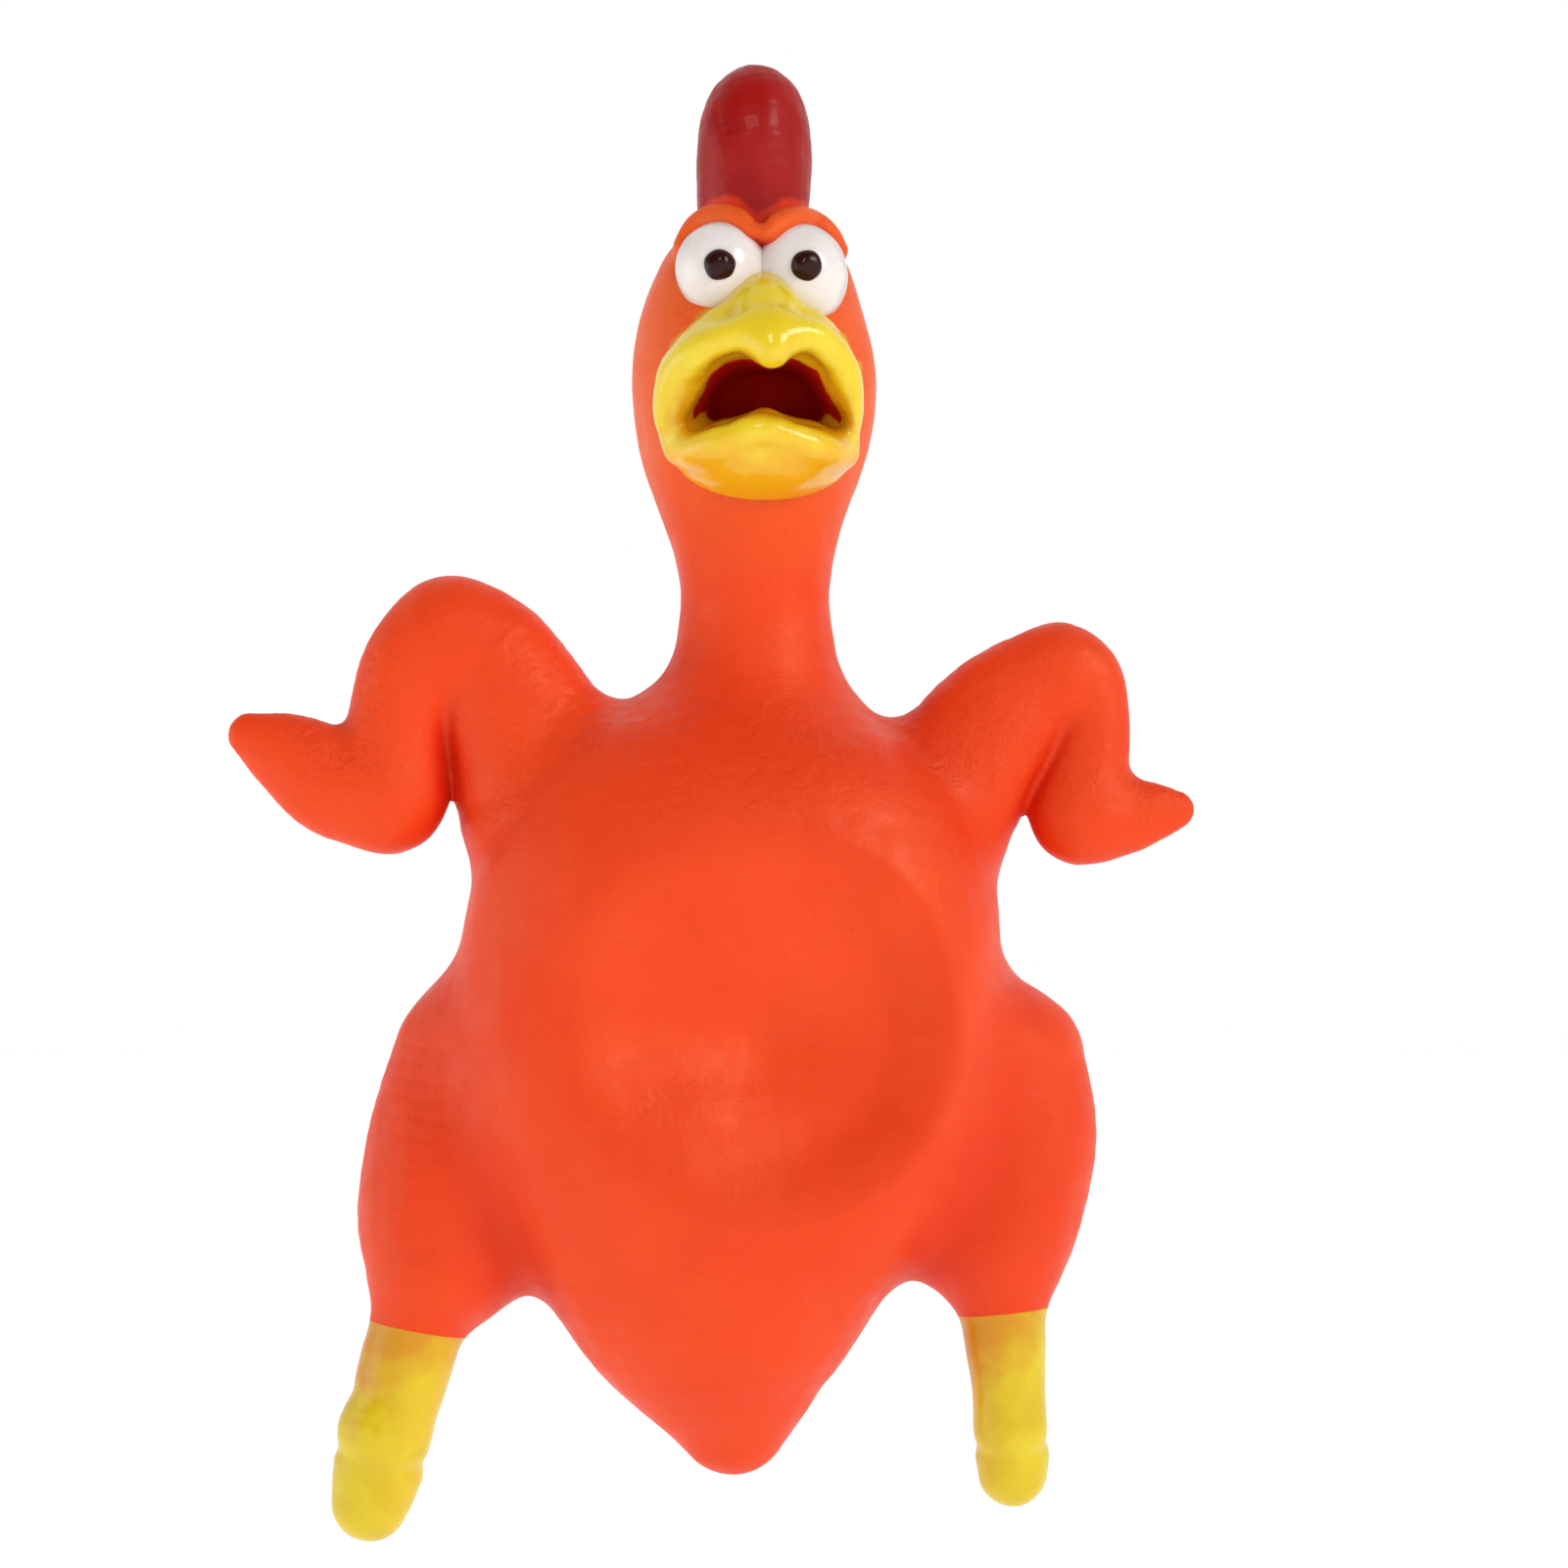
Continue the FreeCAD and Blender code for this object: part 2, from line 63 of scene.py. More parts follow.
FOLD_FULL = 1.8                         # total of the three that counts as a full fold
GRADIENT_STEP = 0.05                    # mm between the points that a slope is measured from
CURVE_STEPS = 5                         # pieces of a limb's curve between two of its stops
TAU = 2 * math.pi
OUTWARD = {"left": 1.0, "right": -1.0}  # which way along X each side of the chicken lies
SIDES = tuple(OUTWARD)


# ---- distances ----------------------------------------------------------------------
def length(vectors):
    return np.sqrt((vectors * vectors).sum(axis=1))


def smooth_min(a, b, radius):
    """Union of two distances, with a fillet of about that radius."""
    near = np.maximum(radius - np.abs(a - b), 0.0) / radius
    return np.minimum(a, b) - near * near * radius * 0.25


def smooth_max(a, b, radius):
    return -smooth_min(-a, -b, radius)


def smooth_step(t):
    """0 to 1 with level ends."""
    t = np.clip(t, 0.0, 1.0)
    return t * t * (3.0 - 2.0 * t)


def egg(points, centre, radii):
    """Distance to an ellipsoid."""
    radii = np.array(radii, float)
    scaled = (points - np.array(centre, float)) / radii
    size = length(scaled)
    slope = np.maximum(length(scaled / radii), 1e-6)
    return size * (size - 1.0) / slope


def pillow(points, centre, radii, power):
    """Distance to an ellipsoid whose level sections are boxier the larger the power."""
    scaled = (points - np.array(centre, float)) / radii
    x, y = np.abs(scaled[:, 0]), np.abs(scaled[:, 1])
    level = np.maximum((x ** power + y ** power) ** (1.0 / power), 1e-6)
    size = np.maximum(np.hypot(level, scaled[:, 2]), 1e-6)
    flatter = level ** (power - 2)
    slope_x = x ** (power - 1) / flatter / radii[0]
    slope_y = y ** (power - 1) / flatter / radii[1]
    slope_z = scaled[:, 2] / radii[2]
    slopes = np.stack([slope_x, slope_y, slope_z], axis=1) / size[:, None]
    return (size - 1.0) / np.maximum(length(slopes), 1e-6)


def smooth_stops(stops):
    """More stops on a smooth curve through the given ones."""
    stops = np.array(stops, float)
    ends = np.vstack([2 * stops[0] - stops[1], stops, 2 * stops[-1] - stops[-2]])
    result = []
    for number in range(1, len(ends) - 2):
        before, start, end, after = ends[number - 1:number + 3]
        for t in np.arange(CURVE_STEPS) / CURVE_STEPS:
            bend = (2 * before - 5 * start + 4 * end - after) * t * t
            bend += (3 * start - before - 3 * end + after) * t ** 3
            result.append(start + 0.5 * ((end - before) * t + bend))
    result.append(stops[-1])
    return np.array(result)


def chain(points, stops, depth=1.0):
    """Distance to a smooth limb through stops of (x, y, z, radius). Depth flattens it along Y."""
    stops = smooth_stops(stops)
    centres = stops[:, :3].copy()
    radii = stops[:, 3]
    low = (centres - radii[:, None]).min(axis=0) - REACH
    high = (centres + radii[:, None]).max(axis=0) + REACH
    inside = ((points > low) & (points < high)).all(axis=1)
    result = np.full(len(points), REACH)
    near = points[inside].copy()
    middle_y = centres[:, 1].mean()
    near[:, 1] = (near[:, 1] - middle_y) / depth
    centres[:, 1] = (centres[:, 1] - middle_y) / depth
    best = np.full(len(near), REACH)
    for number in range(len(stops) - 1):
        start = centres[number]
        along = centres[number + 1] - start
        share = np.clip(((near - start) @ along) / (along @ along), 0.0, 1.0)
        radius = radii[number] + share * (radii[number + 1] - radii[number])
        best = np.minimum(best, length(near - start - share[:, None] * along) - radius)
    result[inside] = best
    return result


def waves(points, wavelength, seed, count=7):
    """Soft random relief between about -1 and 1, the same on every run."""
    random = np.random.default_rng(seed)
    total = np.zeros(len(points))
    for _ in range(count):
        direction = random.normal(size=3)
        direction /= np.linalg.norm(direction)
        turns = TAU / (wavelength * random.uniform(0.7, 1.5))
        total += np.sin(points @ (direction * turns) + random.uniform(0, TAU))
    return total / math.sqrt(count)


# ---- the moulding -------------------------------------------------------------------
# A trunk and a chest: centre, half sizes, and how boxy their level sections are.
TRUNK = ((-1.6, 0.5, 1.5), (37.3, 25.6, 43.5), 2.6)
CHEST = ((-0.2, 0.5, 21.0), (32.4, 22.3, 23.4), 2.3)

# Limbs are lists of stops: (x, y, z, radius).
TAIL = [(-3.6, 0.5, -4.0, 31.4), (-3.6, 0.5, -15.0, 30.4), (-3.4, 0.7, -30, 22.8),
        (-2.9, 1.0, -38, 17.5), (-1.9, 1.6, -46.0, 12.2), (-1.3, 2.0, -53.0, 7.7)]
HEAD = [(1.9, 1, 42, 12.0), (1.9, 1, 50, 10.9), (1.9, 1, 54, 10.3), (1.9, 0.8, 58, 10.0),
        (1.9, 0.5, 62, 10.3), (1.8, 0.3, 68, 11.5), (1.6, 0, 75, 13.7), (1.7, 0, 82, 16.0),
        (1.7, 0, 88, 16.5), (1.6, 0.3, 93, 15.5), (1.8, 0.8, 97.2, 14.1)]
TAIL_FOLD = [(12.0, -29.8, -28.5, 6.5), (5.0, -28.2, -34.0, 7.0), (-3.0, -26.6, -40.0, 6.5)]

# A limb's depth for its width.
TAIL_DEPTH = 0.77
HEAD_DEPTH = 0.95
WING_DEPTH = 0.78
HAND_DEPTH = 0.66
THIGH_DEPTH = 1.05
TOE_DEPTH = 0.95

# Fillets where one shape runs into the next.
CHEST_FILLET = 9.0
TAIL_FILLET = 3.0
NECK_FILLET = 7.0
SHOULDER_FILLET = 5.0
THIGH_FILLET = 8.5
LEG_FILLET = 3.0
TOE_FILLET = 0.7
FOLD_FILLET = 6.0
FORE_WING_FILLET = 1.7
HAND_FILLET = 2.6
BROW_FILLET = 2.6
MOUTH_EDGE = 0.6
SKIN_ROOM = 1.2                 # the head's opening is this much wider than the mouth in it

DENT_CENTRE = (3.0, -0.5)       # x and z of the squeezed belly's bowl
DENT_HALF = (27.5, 26.0)
BOWL_DEPTH = 5.0
WALL_DEPTH = 5.4                # of the steep wall just inside the bowl's rim
WALL_SHARE = 0.44               # of the bowl's half width that the wall takes
THUMB_LINE = ((-22.0, 2.5), (1.0, -1.0))
THUMB_DEPTH = 4.6
THUMB_HALF = 9.0

# A wing's plane is a point and a direction of the front view: it bends beyond that line.
WINGS = {
    "right": {
        "upper": [(-25.9, 0, 31.7, 12.9), (-29.6, 0, 40.9, 10.8), (-34.0, 0, 49.2, 9.3),
                  (-39.0, 0, 52.1, 9.1)],
        "fore": [(-39.0, 0, 52.1, 9.1), (-43.6, -0.5, 48.6, 7.9), (-46.2, -1, 42.0, 7.0),
                 (-46.9, -1, 35.5, 7.2), (-47.6, -1, 31.8, 7.7)],
        "hand": [(-48.6, -1, 32.0, 8.0), (-54.6, -1, 33.2, 7.5), (-60.6, -1, 36.7, 5.9),
                 (-66.5, -1, 39.7, 3.0)],
        "plane": ((-28.7, 35.0), (-0.80, 0.60)),
    },
    "left": {
        "upper": [(27.0, 0, 30.7, 10.6), (33.3, 0, 39.7, 9.4), (37.8, 0, 44.7, 8.0),
                  (43.0, 0, 47.8, 6.9)],
        "fore": [(43.0, 0, 47.8, 6.9), (46.3, -0.5, 46.6, 5.6), (47.9, -1, 41.5, 4.7),
                 (46.9, -1, 35.0, 5.6), (46.2, -1, 29.8, 6.9)],
        "hand": [(46.4, -1, 29.0, 6.4), (51.0, -1, 28.6, 5.4), (55.2, -1, 29.2, 4.2),
                 (58.7, -1, 29.6, 2.7)],
        "plane": ((28.0, 33.3), (0.82, 0.57)),
    },
}

# The paint line is a point and a direction of the front view. Notch is where the leg parts from
# the tail, down the way the leg hangs from there, and inner how far out from the middle it
# starts. Bend says how far below the notch the skin starts and ends its bend.
LEGS = {
    "right": {
        "thigh": [(-37.5, 2.5, -4, 9.4), (-39.4, 2.5, -15, 11.2), (-41, 2.2, -25, 11.3),
                  (-40.6, 1.2, -31.0, 10.6)],
        "leg": [(-43.2, 0, -36.0, 6.0), (-44.4, 0, -42.0, 6.4), (-45.8, 0, -47.0, 6.3),
                (-46.7, -0.2, -50.6, 6.0), (-48.2, -0.5, -54.8, 6.4)],
        "toe": [(-49.3, 1.2, -60.0, 6.1), (-50.5, 1.8, -64.4, 5.2)],
        "paint": ((-44.4, -40.6), (-0.181, -0.983)),
        "notch": (-29.3, -35.7), "down": (-0.312, -0.951), "inner": 28.1, "bend": (0.5, 7.6),
    },
    "left": {
        "thigh": [(37.0, 2.5, -4.4, 9.6), (37.8, 2.5, -14.5, 10.5), (36.0, 2.2, -24, 10.6),
                  (34.6, 1.2, -29.3, 9.9)],
        "leg": [(35.2, 0, -35.0, 5.8), (35.6, 0, -41.0, 5.6), (36.2, 0, -47.0, 5.1),
                (36.4, -0.2, -50.2, 5.0), (36.6, -0.5, -54.2, 5.1)],
        "toe": [(36.8, 1.2, -58.2, 5.1), (36.8, 1.6, -60.2, 4.8)],
        "paint": ((35.5, -38.4), (0.10, -0.995)),
        "notch": (23.1, -34.0), "down": (0.264, -0.965), "inner": 22.6, "bend": (0.5, 6.5),
    },
}

# The middle of each eye, and its half width and half height.
EYES = {"right": ((-2.7, -9.8, 102.2), 6.1, 6.4), "left": ((8.0, -8.8, 101.3), 6.4, 7.1)}
BROW_SWEEPS = {"right": (46, 150), "left": (32, 134)}   # degrees round each eye
BROW_STOPS = 8
BROW_MEETING = 1.2              # fillet of the two brows where they meet


def mouth_hollow(points):
    """Distance to the open mouth's hollow: wide at its floor, narrow at its roof, narrower inside."""
    left = chain(points, [(11.2, -40, 83.2, 5.4), (9.4, -21, 83.3, 4.4), (8.2, -14, 83.6, 3.5),
                          (6.6, -2, 84.0, 2.8)])
    right = chain(points, [(-4.6, -40, 83.2, 5.4), (-3.0, -21, 83.3, 4.4), (-1.9, -14, 83.6, 3.5),
                           (-0.6, -2, 84.0, 2.8)])
    roof_right = chain(points, [(0.4, -40, 86.0, 5.0), (0.4, -21, 86.0, 4.3),
                                (0.3, -14, 86.2, 3.6), (1.6, -2, 85.6, 3.0)])
    roof_left = chain(points, [(6.4, -40, 86.0, 5.0), (6.4, -21, 86.0, 4.3),
                               (6.2, -14, 86.2, 3.6), (5.0, -2, 85.6, 3.0)])
    floor = smooth_min(left, right, 4.0)
    hollow = smooth_min(floor, smooth_min(roof_right, roof_left, 2.0), 3.0)
    for x, inner_x in ((13.0, 8.4), (-6.2, -1.6)):
        corner = chain(points, [(x, -40, 80.9, 2.6), (x, -17, 81.0, 2.0),
                                (inner_x, -6, 82.6, 1.4)])
        hollow = smooth_min(hollow, corner, 3.0)
    return smooth_max(hollow, points[:, 1] + 1.0, 3.0)


def brows(points):
    """Two soft ridges that hood the eyes, meet in a V between them and die away at the sides."""
    x_top, _, z_top, crown = HEAD[-1]
    best = np.full(len(points), REACH)
    for side, (first, last) in BROW_SWEEPS.items():
        (x, _, z), half_width, half_height = EYES[side]
        stops = []
        for turn in np.linspace(math.radians(first), math.radians(last), BROW_STOPS):
            lift = math.sin(turn)
            brow_x = x + (half_width - 0.1) * math.cos(turn)
            brow_z = z + (half_height + 0.5) * lift
            skull_squared = crown ** 2 - (brow_x - x_top) ** 2 - (brow_z - z_top) ** 2
            skull = math.sqrt(max(skull_squared, 9.0))
            stops.append((brow_x, -skull - 2.4 * lift, brow_z, 0.6 + 1.4 * lift * lift))
        best = smooth_min(best, chain(points, stops), BROW_MEETING)
    return best


def pressed_in(points):
    """How far the squeeze has pushed the belly back: a bowl with a steep left wall and a soft top,
    and the thumb's trough across it, which is deepest under the thumb's tip.
    """
    x = (points[:, 0] - DENT_CENTRE[0]) / DENT_HALF[0]
    z = (points[:, 2] - DENT_CENTRE[1]) / DENT_HALF[1]
    ring = np.hypot(x, z)
    upper = np.clip(z / np.maximum(ring, 0.5), 0.0, 1.0)
    left = smooth_step(0.45 + 0.6 * x / np.maximum(ring, 0.5) - 0.2 * upper)
    ring = ring / (1.0 + 0.12 * upper)
    inside = np.clip(1.0 - ring, 0.0, 1.0)
    bowl = BOWL_DEPTH * np.clip(1.0 - ring * ring, 0.0, 1.0) ** 1.6
    wall = WALL_DEPTH * (0.2 + 0.8 * left) * smooth_step(inside / WALL_SHARE)
    start, end = THUMB_LINE
    run = (end[0] - start[0], end[1] - start[1])
    x = points[:, 0] - start[0]
    z = points[:, 2] - start[1]
    share = np.clip((x * run[0] + z * run[1]) / (run[0] ** 2 + run[1] ** 2), 0.0, 1.0)
    off = np.hypot(x - share * run[0], z - share * run[1])
    trough = THUMB_DEPTH * (0.35 + 0.65 * share) * np.exp(-np.square(off / THUMB_HALF))
    front = np.clip(0.5 - points[:, 1] / 10.0, 0.0, 1.0)
    return (bowl + wall + trough) * front


def body(points):
    """Torso, tail, neck and head."""
    trunk = smooth_min(pillow(points, *TRUNK), pillow(points, *CHEST), CHEST_FILLET)
    trunk = smooth_min(trunk, chain(points, TAIL, TAIL_DEPTH), TAIL_FILLET)
    return smooth_min(trunk, chain(points, HEAD, HEAD_DEPTH), NECK_FILLET)


def moulding(points):
    """Distance to the whole latex skin without its comb, beak and eyes."""
    shifted = points.copy()
    shifted[:, 1] -= pressed_in(points)
    shape = body(shifted)
    for side in SIDES:
        shape = smooth_min(shape, chain(points, WINGS[side]["upper"], WING_DEPTH), SHOULDER_FILLET)
    for side in SIDES:
        leg = LEGS[side]
        shape = smooth_min(shape, chain(points, leg["thigh"], THIGH_DEPTH), THIGH_FILLET)
        shape = smooth_min(shape, chain(points, leg["leg"]), LEG_FILLET)
        shape = smooth_min(shape, chain(points, leg["toe"], TOE_DEPTH), TOE_FILLET)
    shape = smooth_max(shape, -chain(points, TAIL_FOLD), FOLD_FILLET)
    for side in SIDES:
        wing = WINGS[side]
        shape = smooth_min(shape, chain(points, wing["fore"], WING_DEPTH), FORE_WING_FILLET)
        shape = smooth_min(shape, chain(points, wing["hand"], HAND_DEPTH), HAND_FILLET)
    shape = smooth_min(shape, brows(points), BROW_FILLET)
    shape = smooth_max(shape, -mouth_hollow(points) + SKIN_ROOM, MOUTH_EDGE)
    return shape + 0.15 * waves(points, 17.0, 3) + 0.03 * waves(points, 4.6, 5)


# ---- painted features ---------------------------------------------------------------
LINING_HALF = 0.5               # half of the mouth lining's thickness
LINING_INSET = 0.15             # how far the lining's middle is kept out of the beak's wall
FACE_X = 3.3                    # the face is a little to the chicken's left of the skull
PARTING_Z = 81.4                # the beak's halves part here in the middle
PARTING_SLOPE = 0.12            # and lower towards the mouth's corners
BEAK_BACK_Y = -7.0
EYE_DEPTH = 5.6                 # an eye's half depth
PUPIL_HALF = 2.1
PUPIL_DEPTH = 1.4
PUPIL_Z = 102.4
PUPIL_SHIFT = {"right": -0.1, "left": 0.8}      # sideways, from the eye's middle


def beak(points):
    """Open beak: a muzzle with a drooping nose, and thick rolled lips round the mouth."""
    muzzle = egg(points, (2.4, -8.3, 84.2), (13.7, 10.4, 12.8))
    arch = chain(points, [(-9.2, -11.4, 79.8, 1.2), (-9.9, -13.4, 83.5, 1.8), (-8.6, -15.8, 87.8, 2.2),
                          (-4.8, -18.2, 91.0, 2.3), (0.0, -20.2, 92.6, 2.3), (8.2, -20.2, 92.8, 2.3),
                          (11.7, -18.2, 91.0, 2.3), (13.9, -15.8, 87.4, 2.2), (14.6, -13.4, 83.5, 1.8),
                          (14.4, -11.4, 79.8, 1.2)])
    shape = smooth_min(muzzle, arch, 2.6)
    flanks = chain(points, [(-8.0, -13.6, 88.8, 2.4), (-4.6, -15.0, 92.0, 3.2), (-0.4, -14.8, 95.0, 3.0),
                            (3.1, -13.6, 96.6, 3.0), (6.4, -14.8, 95.0, 3.0), (10.0, -14.6, 92.6, 3.1),
                            (12.9, -12.6, 89.4, 2.3)])
    nose = chain(points, [(3.0, -12.4, 97.3, 4.3), (3.2, -15.0, 96.0, 4.5), (3.5, -17.8, 93.6, 4.4),
                          (4.1, -20.6, 91.8, 3.6), (4.3, -22.4, 90.3, 2.1)])
    shape = smooth_min(shape, smooth_min(flanks, nose, 1.6), 2.4)
    shape = smooth_max(shape, -mouth_hollow(points), 1.4)
    tip = chain(points, [(4.0, -19.8, 92.0, 3.2), (4.3, -22.1, 90.2, 2.0)])
    shape = smooth_min(shape, tip, 2.0)
    chin = egg(points, (3.2, -10.0, 77.0), (11.2, 9.6, 5.6))
    shape = smooth_min(shape, chin, 3.0)
    lip = chain(points, [(-8.6, -12.2, 77.6, 1.1), (-5.2, -16.6, 77.8, 1.6), (-1.0, -19.0, 79.0, 1.8),
                         (3.0, -19.9, 80.1, 1.9), (7.6, -19.0, 78.9, 1.8), (11.8, -16.6, 77.5, 1.6),
                         (14.2, -12.2, 77.2, 1.1)])
    shape = smooth_min(shape, lip, 2.6)
    shape = smooth_max(shape, points[:, 1] - BEAK_BACK_Y, 0.6)
    return shape + 0.05 * waves(points, 7.0, 11) + 0.02 * waves(points, 2.6, 12)


def lining(points):
    """Thin dark sheet on the mouth's walls, a painted shadow standing in for the dark inside of the
    hollow chicken. Its uneven front edge is deeper in at the corners.
    """
    wall = np.abs(mouth_hollow(points) - LINING_HALF + LINING_INSET) - LINING_HALF
    corner = np.maximum(np.abs(points[:, 0] - FACE_X) - 7.6, 0.0)
    edge = -14.9 + 1.5 * corner + 0.5 * waves(points, 4.0, 21) + 0.3 * waves(points, 1.5, 22)
    return smooth_max(wall, edge - points[:, 1], 0.3)


def comb(points):
    """Tall rounded comb with two lower lobes behind the front one."""
    front = chain(points, [(1.6, -1.2, 106, 7.2), (1.65, -1.2, 113, 7.6), (1.75, -1.2, 118.5, 7.8),
                           (1.8, -1.0, 122.6, 7.2), (2.0, -0.8, 125.0, 5.5)])
    middle = chain(points, [(1.7, 5.0, 105, 6.6), (1.7, 5.4, 115.0, 6.6), (1.7, 5.6, 121.4, 5.6)])
    rear = chain(points, [(1.6, 9.0, 103, 5.6), (1.6, 10.2, 110.0, 5.2), (1.6, 10.6, 114.4, 4.2)])
    shape = smooth_min(smooth_min(front, middle, 2.2), rear, 2.2)
    nick = egg(points, (-0.2, -2.6, 131.3), (1.1, 2.2, 0.9))
    shape = smooth_max(shape, -nick, 0.8)
    return shape + 0.07 * waves(points, 6.0, 31) + 0.025 * waves(points, 2.0, 32)


def eye_shape(side):
    (x, y, z), half_width, half_height = EYES[side]

    def shape(points):
        white = egg(points, (x, y, z), (half_width, EYE_DEPTH, half_height))
        return smooth_max(white, points[:, 1] - y - 1.0, 0.4) + 0.03 * waves(points, 3.5, 41)
    return shape


def pupil_shape(side):
    x, y, _ = EYES[side][0]
    centre = (x + PUPIL_SHIFT[side], y - 5.3, PUPIL_Z)

    def shape(points):
        dome = egg(points, centre, (PUPIL_HALF, PUPIL_DEPTH, PUPIL_HALF))
        return dome + 0.05 * waves(points, 2.2, 51)
    return shape


# ---- meshing ------------------------------------------------------------------------
def axis_steps():
    """A small step along each axis."""
    return GRADIENT_STEP * np.eye(3)


def slope(field, points):
    """Gradient of a distance field."""
    result = np.empty((len(points), 3))
    for axis, offset in enumerate(axis_steps()):
        result[:, axis] = field(points + offset) - field(points - offset)
    return result / (2 * GRADIENT_STEP)


def settle(field, points, rounds):
    """Moves points onto the surface of a field."""
    for _ in range(rounds):
        here = field(points)
        gradient = np.empty((len(points), 3))
        for axis, offset in enumerate(axis_steps()):
            gradient[:, axis] = (field(points + offset) - here) / GRADIENT_STEP
        steepness = np.maximum((gradient * gradient).sum(axis=1), 0.05)
        points = points - gradient * np.clip(here / steepness, -1.0, 1.0)[:, None]
    return points


def sample(field, low, high, pitch):
    """Field values on a grid, worked out finely only near the surface."""
    low = np.array(low, float)
    coarse_pitch = pitch * COARSE_STEP
    counts = np.ceil((np.array(high, float) - low) / coarse_pitch).astype(int) + 1
    axes = [low[a] + coarse_pitch * np.arange(counts[a]) for a in range(3)]
    coarse_points = np.stack(np.meshgrid(*axes, indexing="ij"), -1).reshape(-1, 3)
    coarse = field(coarse_points).reshape(counts)
    fine_counts = (counts - 1) * COARSE_STEP + 1
    nearest = [np.rint(np.arange(n) / COARSE_STEP).astype(int) for n in fine_counts]
    values = coarse[np.ix_(*nearest)]
    band = np.abs(values) < BAND
    where = np.argwhere(band)
    values[band] = field(low + where * pitch)
    return low, values


def surface(field, low, high, pitch):
    """Vertices and quads of a field's surface, facing out."""
    origin, values = sample(field, low, high, pitch)
    inside = values < 0
    full = np.zeros(tuple(n - 1 for n in inside.shape), int)
    for a in (0, 1):
        for b in (0, 1):
            for c in (0, 1):
                full += inside[a:a + full.shape[0], b:b + full.shape[1], c:c + full.shape[2]]
    active = (full > 0) & (full < 8)
    numbers = np.full(full.shape, -1)
    cells = np.argwhere(active)
    numbers[active] = np.arange(len(cells))
    quads = []
    for axis in range(3):
        u, v = (axis + 1) % 3, (axis + 2) % 3
        first = np.moveaxis(inside, axis, 0)[:-1]
        second = np.moveaxis(inside, axis, 0)[1:]
        change = np.argwhere(np.moveaxis(first != second, 0, axis))
        keep = (change[:, u] > 0) & (change[:, v] > 0)
        keep &= (change[:, u] < full.shape[u]) & (change[:, v] < full.shape[v])
        change = change[keep]
        corners = []
        for du, dv in ((0, 0), (-1, 0), (-1, -1), (0, -1)):
            cell = change.copy()
            cell[:, u] += du
            cell[:, v] += dv
            corners.append(numbers[cell[:, 0], cell[:, 1], cell[:, 2]])
        quad = np.stack(corners, axis=1)
        outward = inside[change[:, 0], change[:, 1], change[:, 2]]
        quad[~outward] = quad[~outward][:, ::-1]
        quads.append(quad)
    quads = np.concatenate(quads)
    points = settle(field, origin + (cells + 0.5) * pitch, 3)
    for _ in range(RELAX_ROUNDS):
        total = np.zeros_like(points)
        count = np.zeros(len(points))
        for corner in range(4):
            here = quads[:, corner]
            for other in (1, 3):
                np.add.at(total, here, points[quads[:, (corner + other) % 4]])
                np.add.at(count, here, 1)
        points = settle(field, (1 - RELAX_SHARE) * points + RELAX_SHARE * total / count[:, None], 1)
    return points, quads


def add_object(name, data):
    thing = bpy.data.objects.new(name, data)
    bpy.context.scene.collection.objects.link(thing)
    return thing


def make_piece(name, points, quads, normals, marks):
    """A mesh object in metres from some quads of a surface, with marks for its material."""
    used, packed = np.unique(quads, return_inverse=True)
    packed = packed.reshape(-1, 4)
    mesh = bpy.data.meshes.new(name)
    mesh.from_pydata((points[used] * MM).tolist(), [], packed.tolist())
    for mark, values in marks.items():
        layer = mesh.attributes.new(mark, "FLOAT", "POINT")
        layer.data.foreach_set("value", values[used].astype(np.float32))
    mesh.polygons.foreach_set("use_smooth", [True] * len(mesh.polygons))
    mesh.normals_split_custom_set_from_vertices(normals[used].tolist())
    mesh.update()
    return add_object(name, mesh)


def unit_normals(field, points):
    gradient = slope(field, points)
    return gradient / np.maximum(length(gradient), 1e-6)[:, None]


def closeness(field, points, normals):
    """0 where the surface is open, towards 1 in folds and creases, where shade falls and is painted into
    the colours.
    """
    total = np.zeros(len(points))
    for reach in FOLD_REACHES:
        total += np.clip(1.0 - field(points + normals * reach) / reach, 0.0, 1.0)
    return np.clip(total / FOLD_FULL, 0.0, 1.0)


# ---- materials ----------------------------------------------------------------------
def map_range(tree, value, low, high, out_low, out_high):
    """Turns low to high into out_low to out_high, and holds the ends."""
    node = tree.nodes.new("ShaderNodeMapRange")
    ends = {"From Min": low, "From Max": high, "To Min": out_low, "To Max": out_high}
    for name, end in ends.items():
        node.inputs[name].default_value = end
    tree.links.new(value, node.inputs["Value"])
    return node.outputs["Result"]


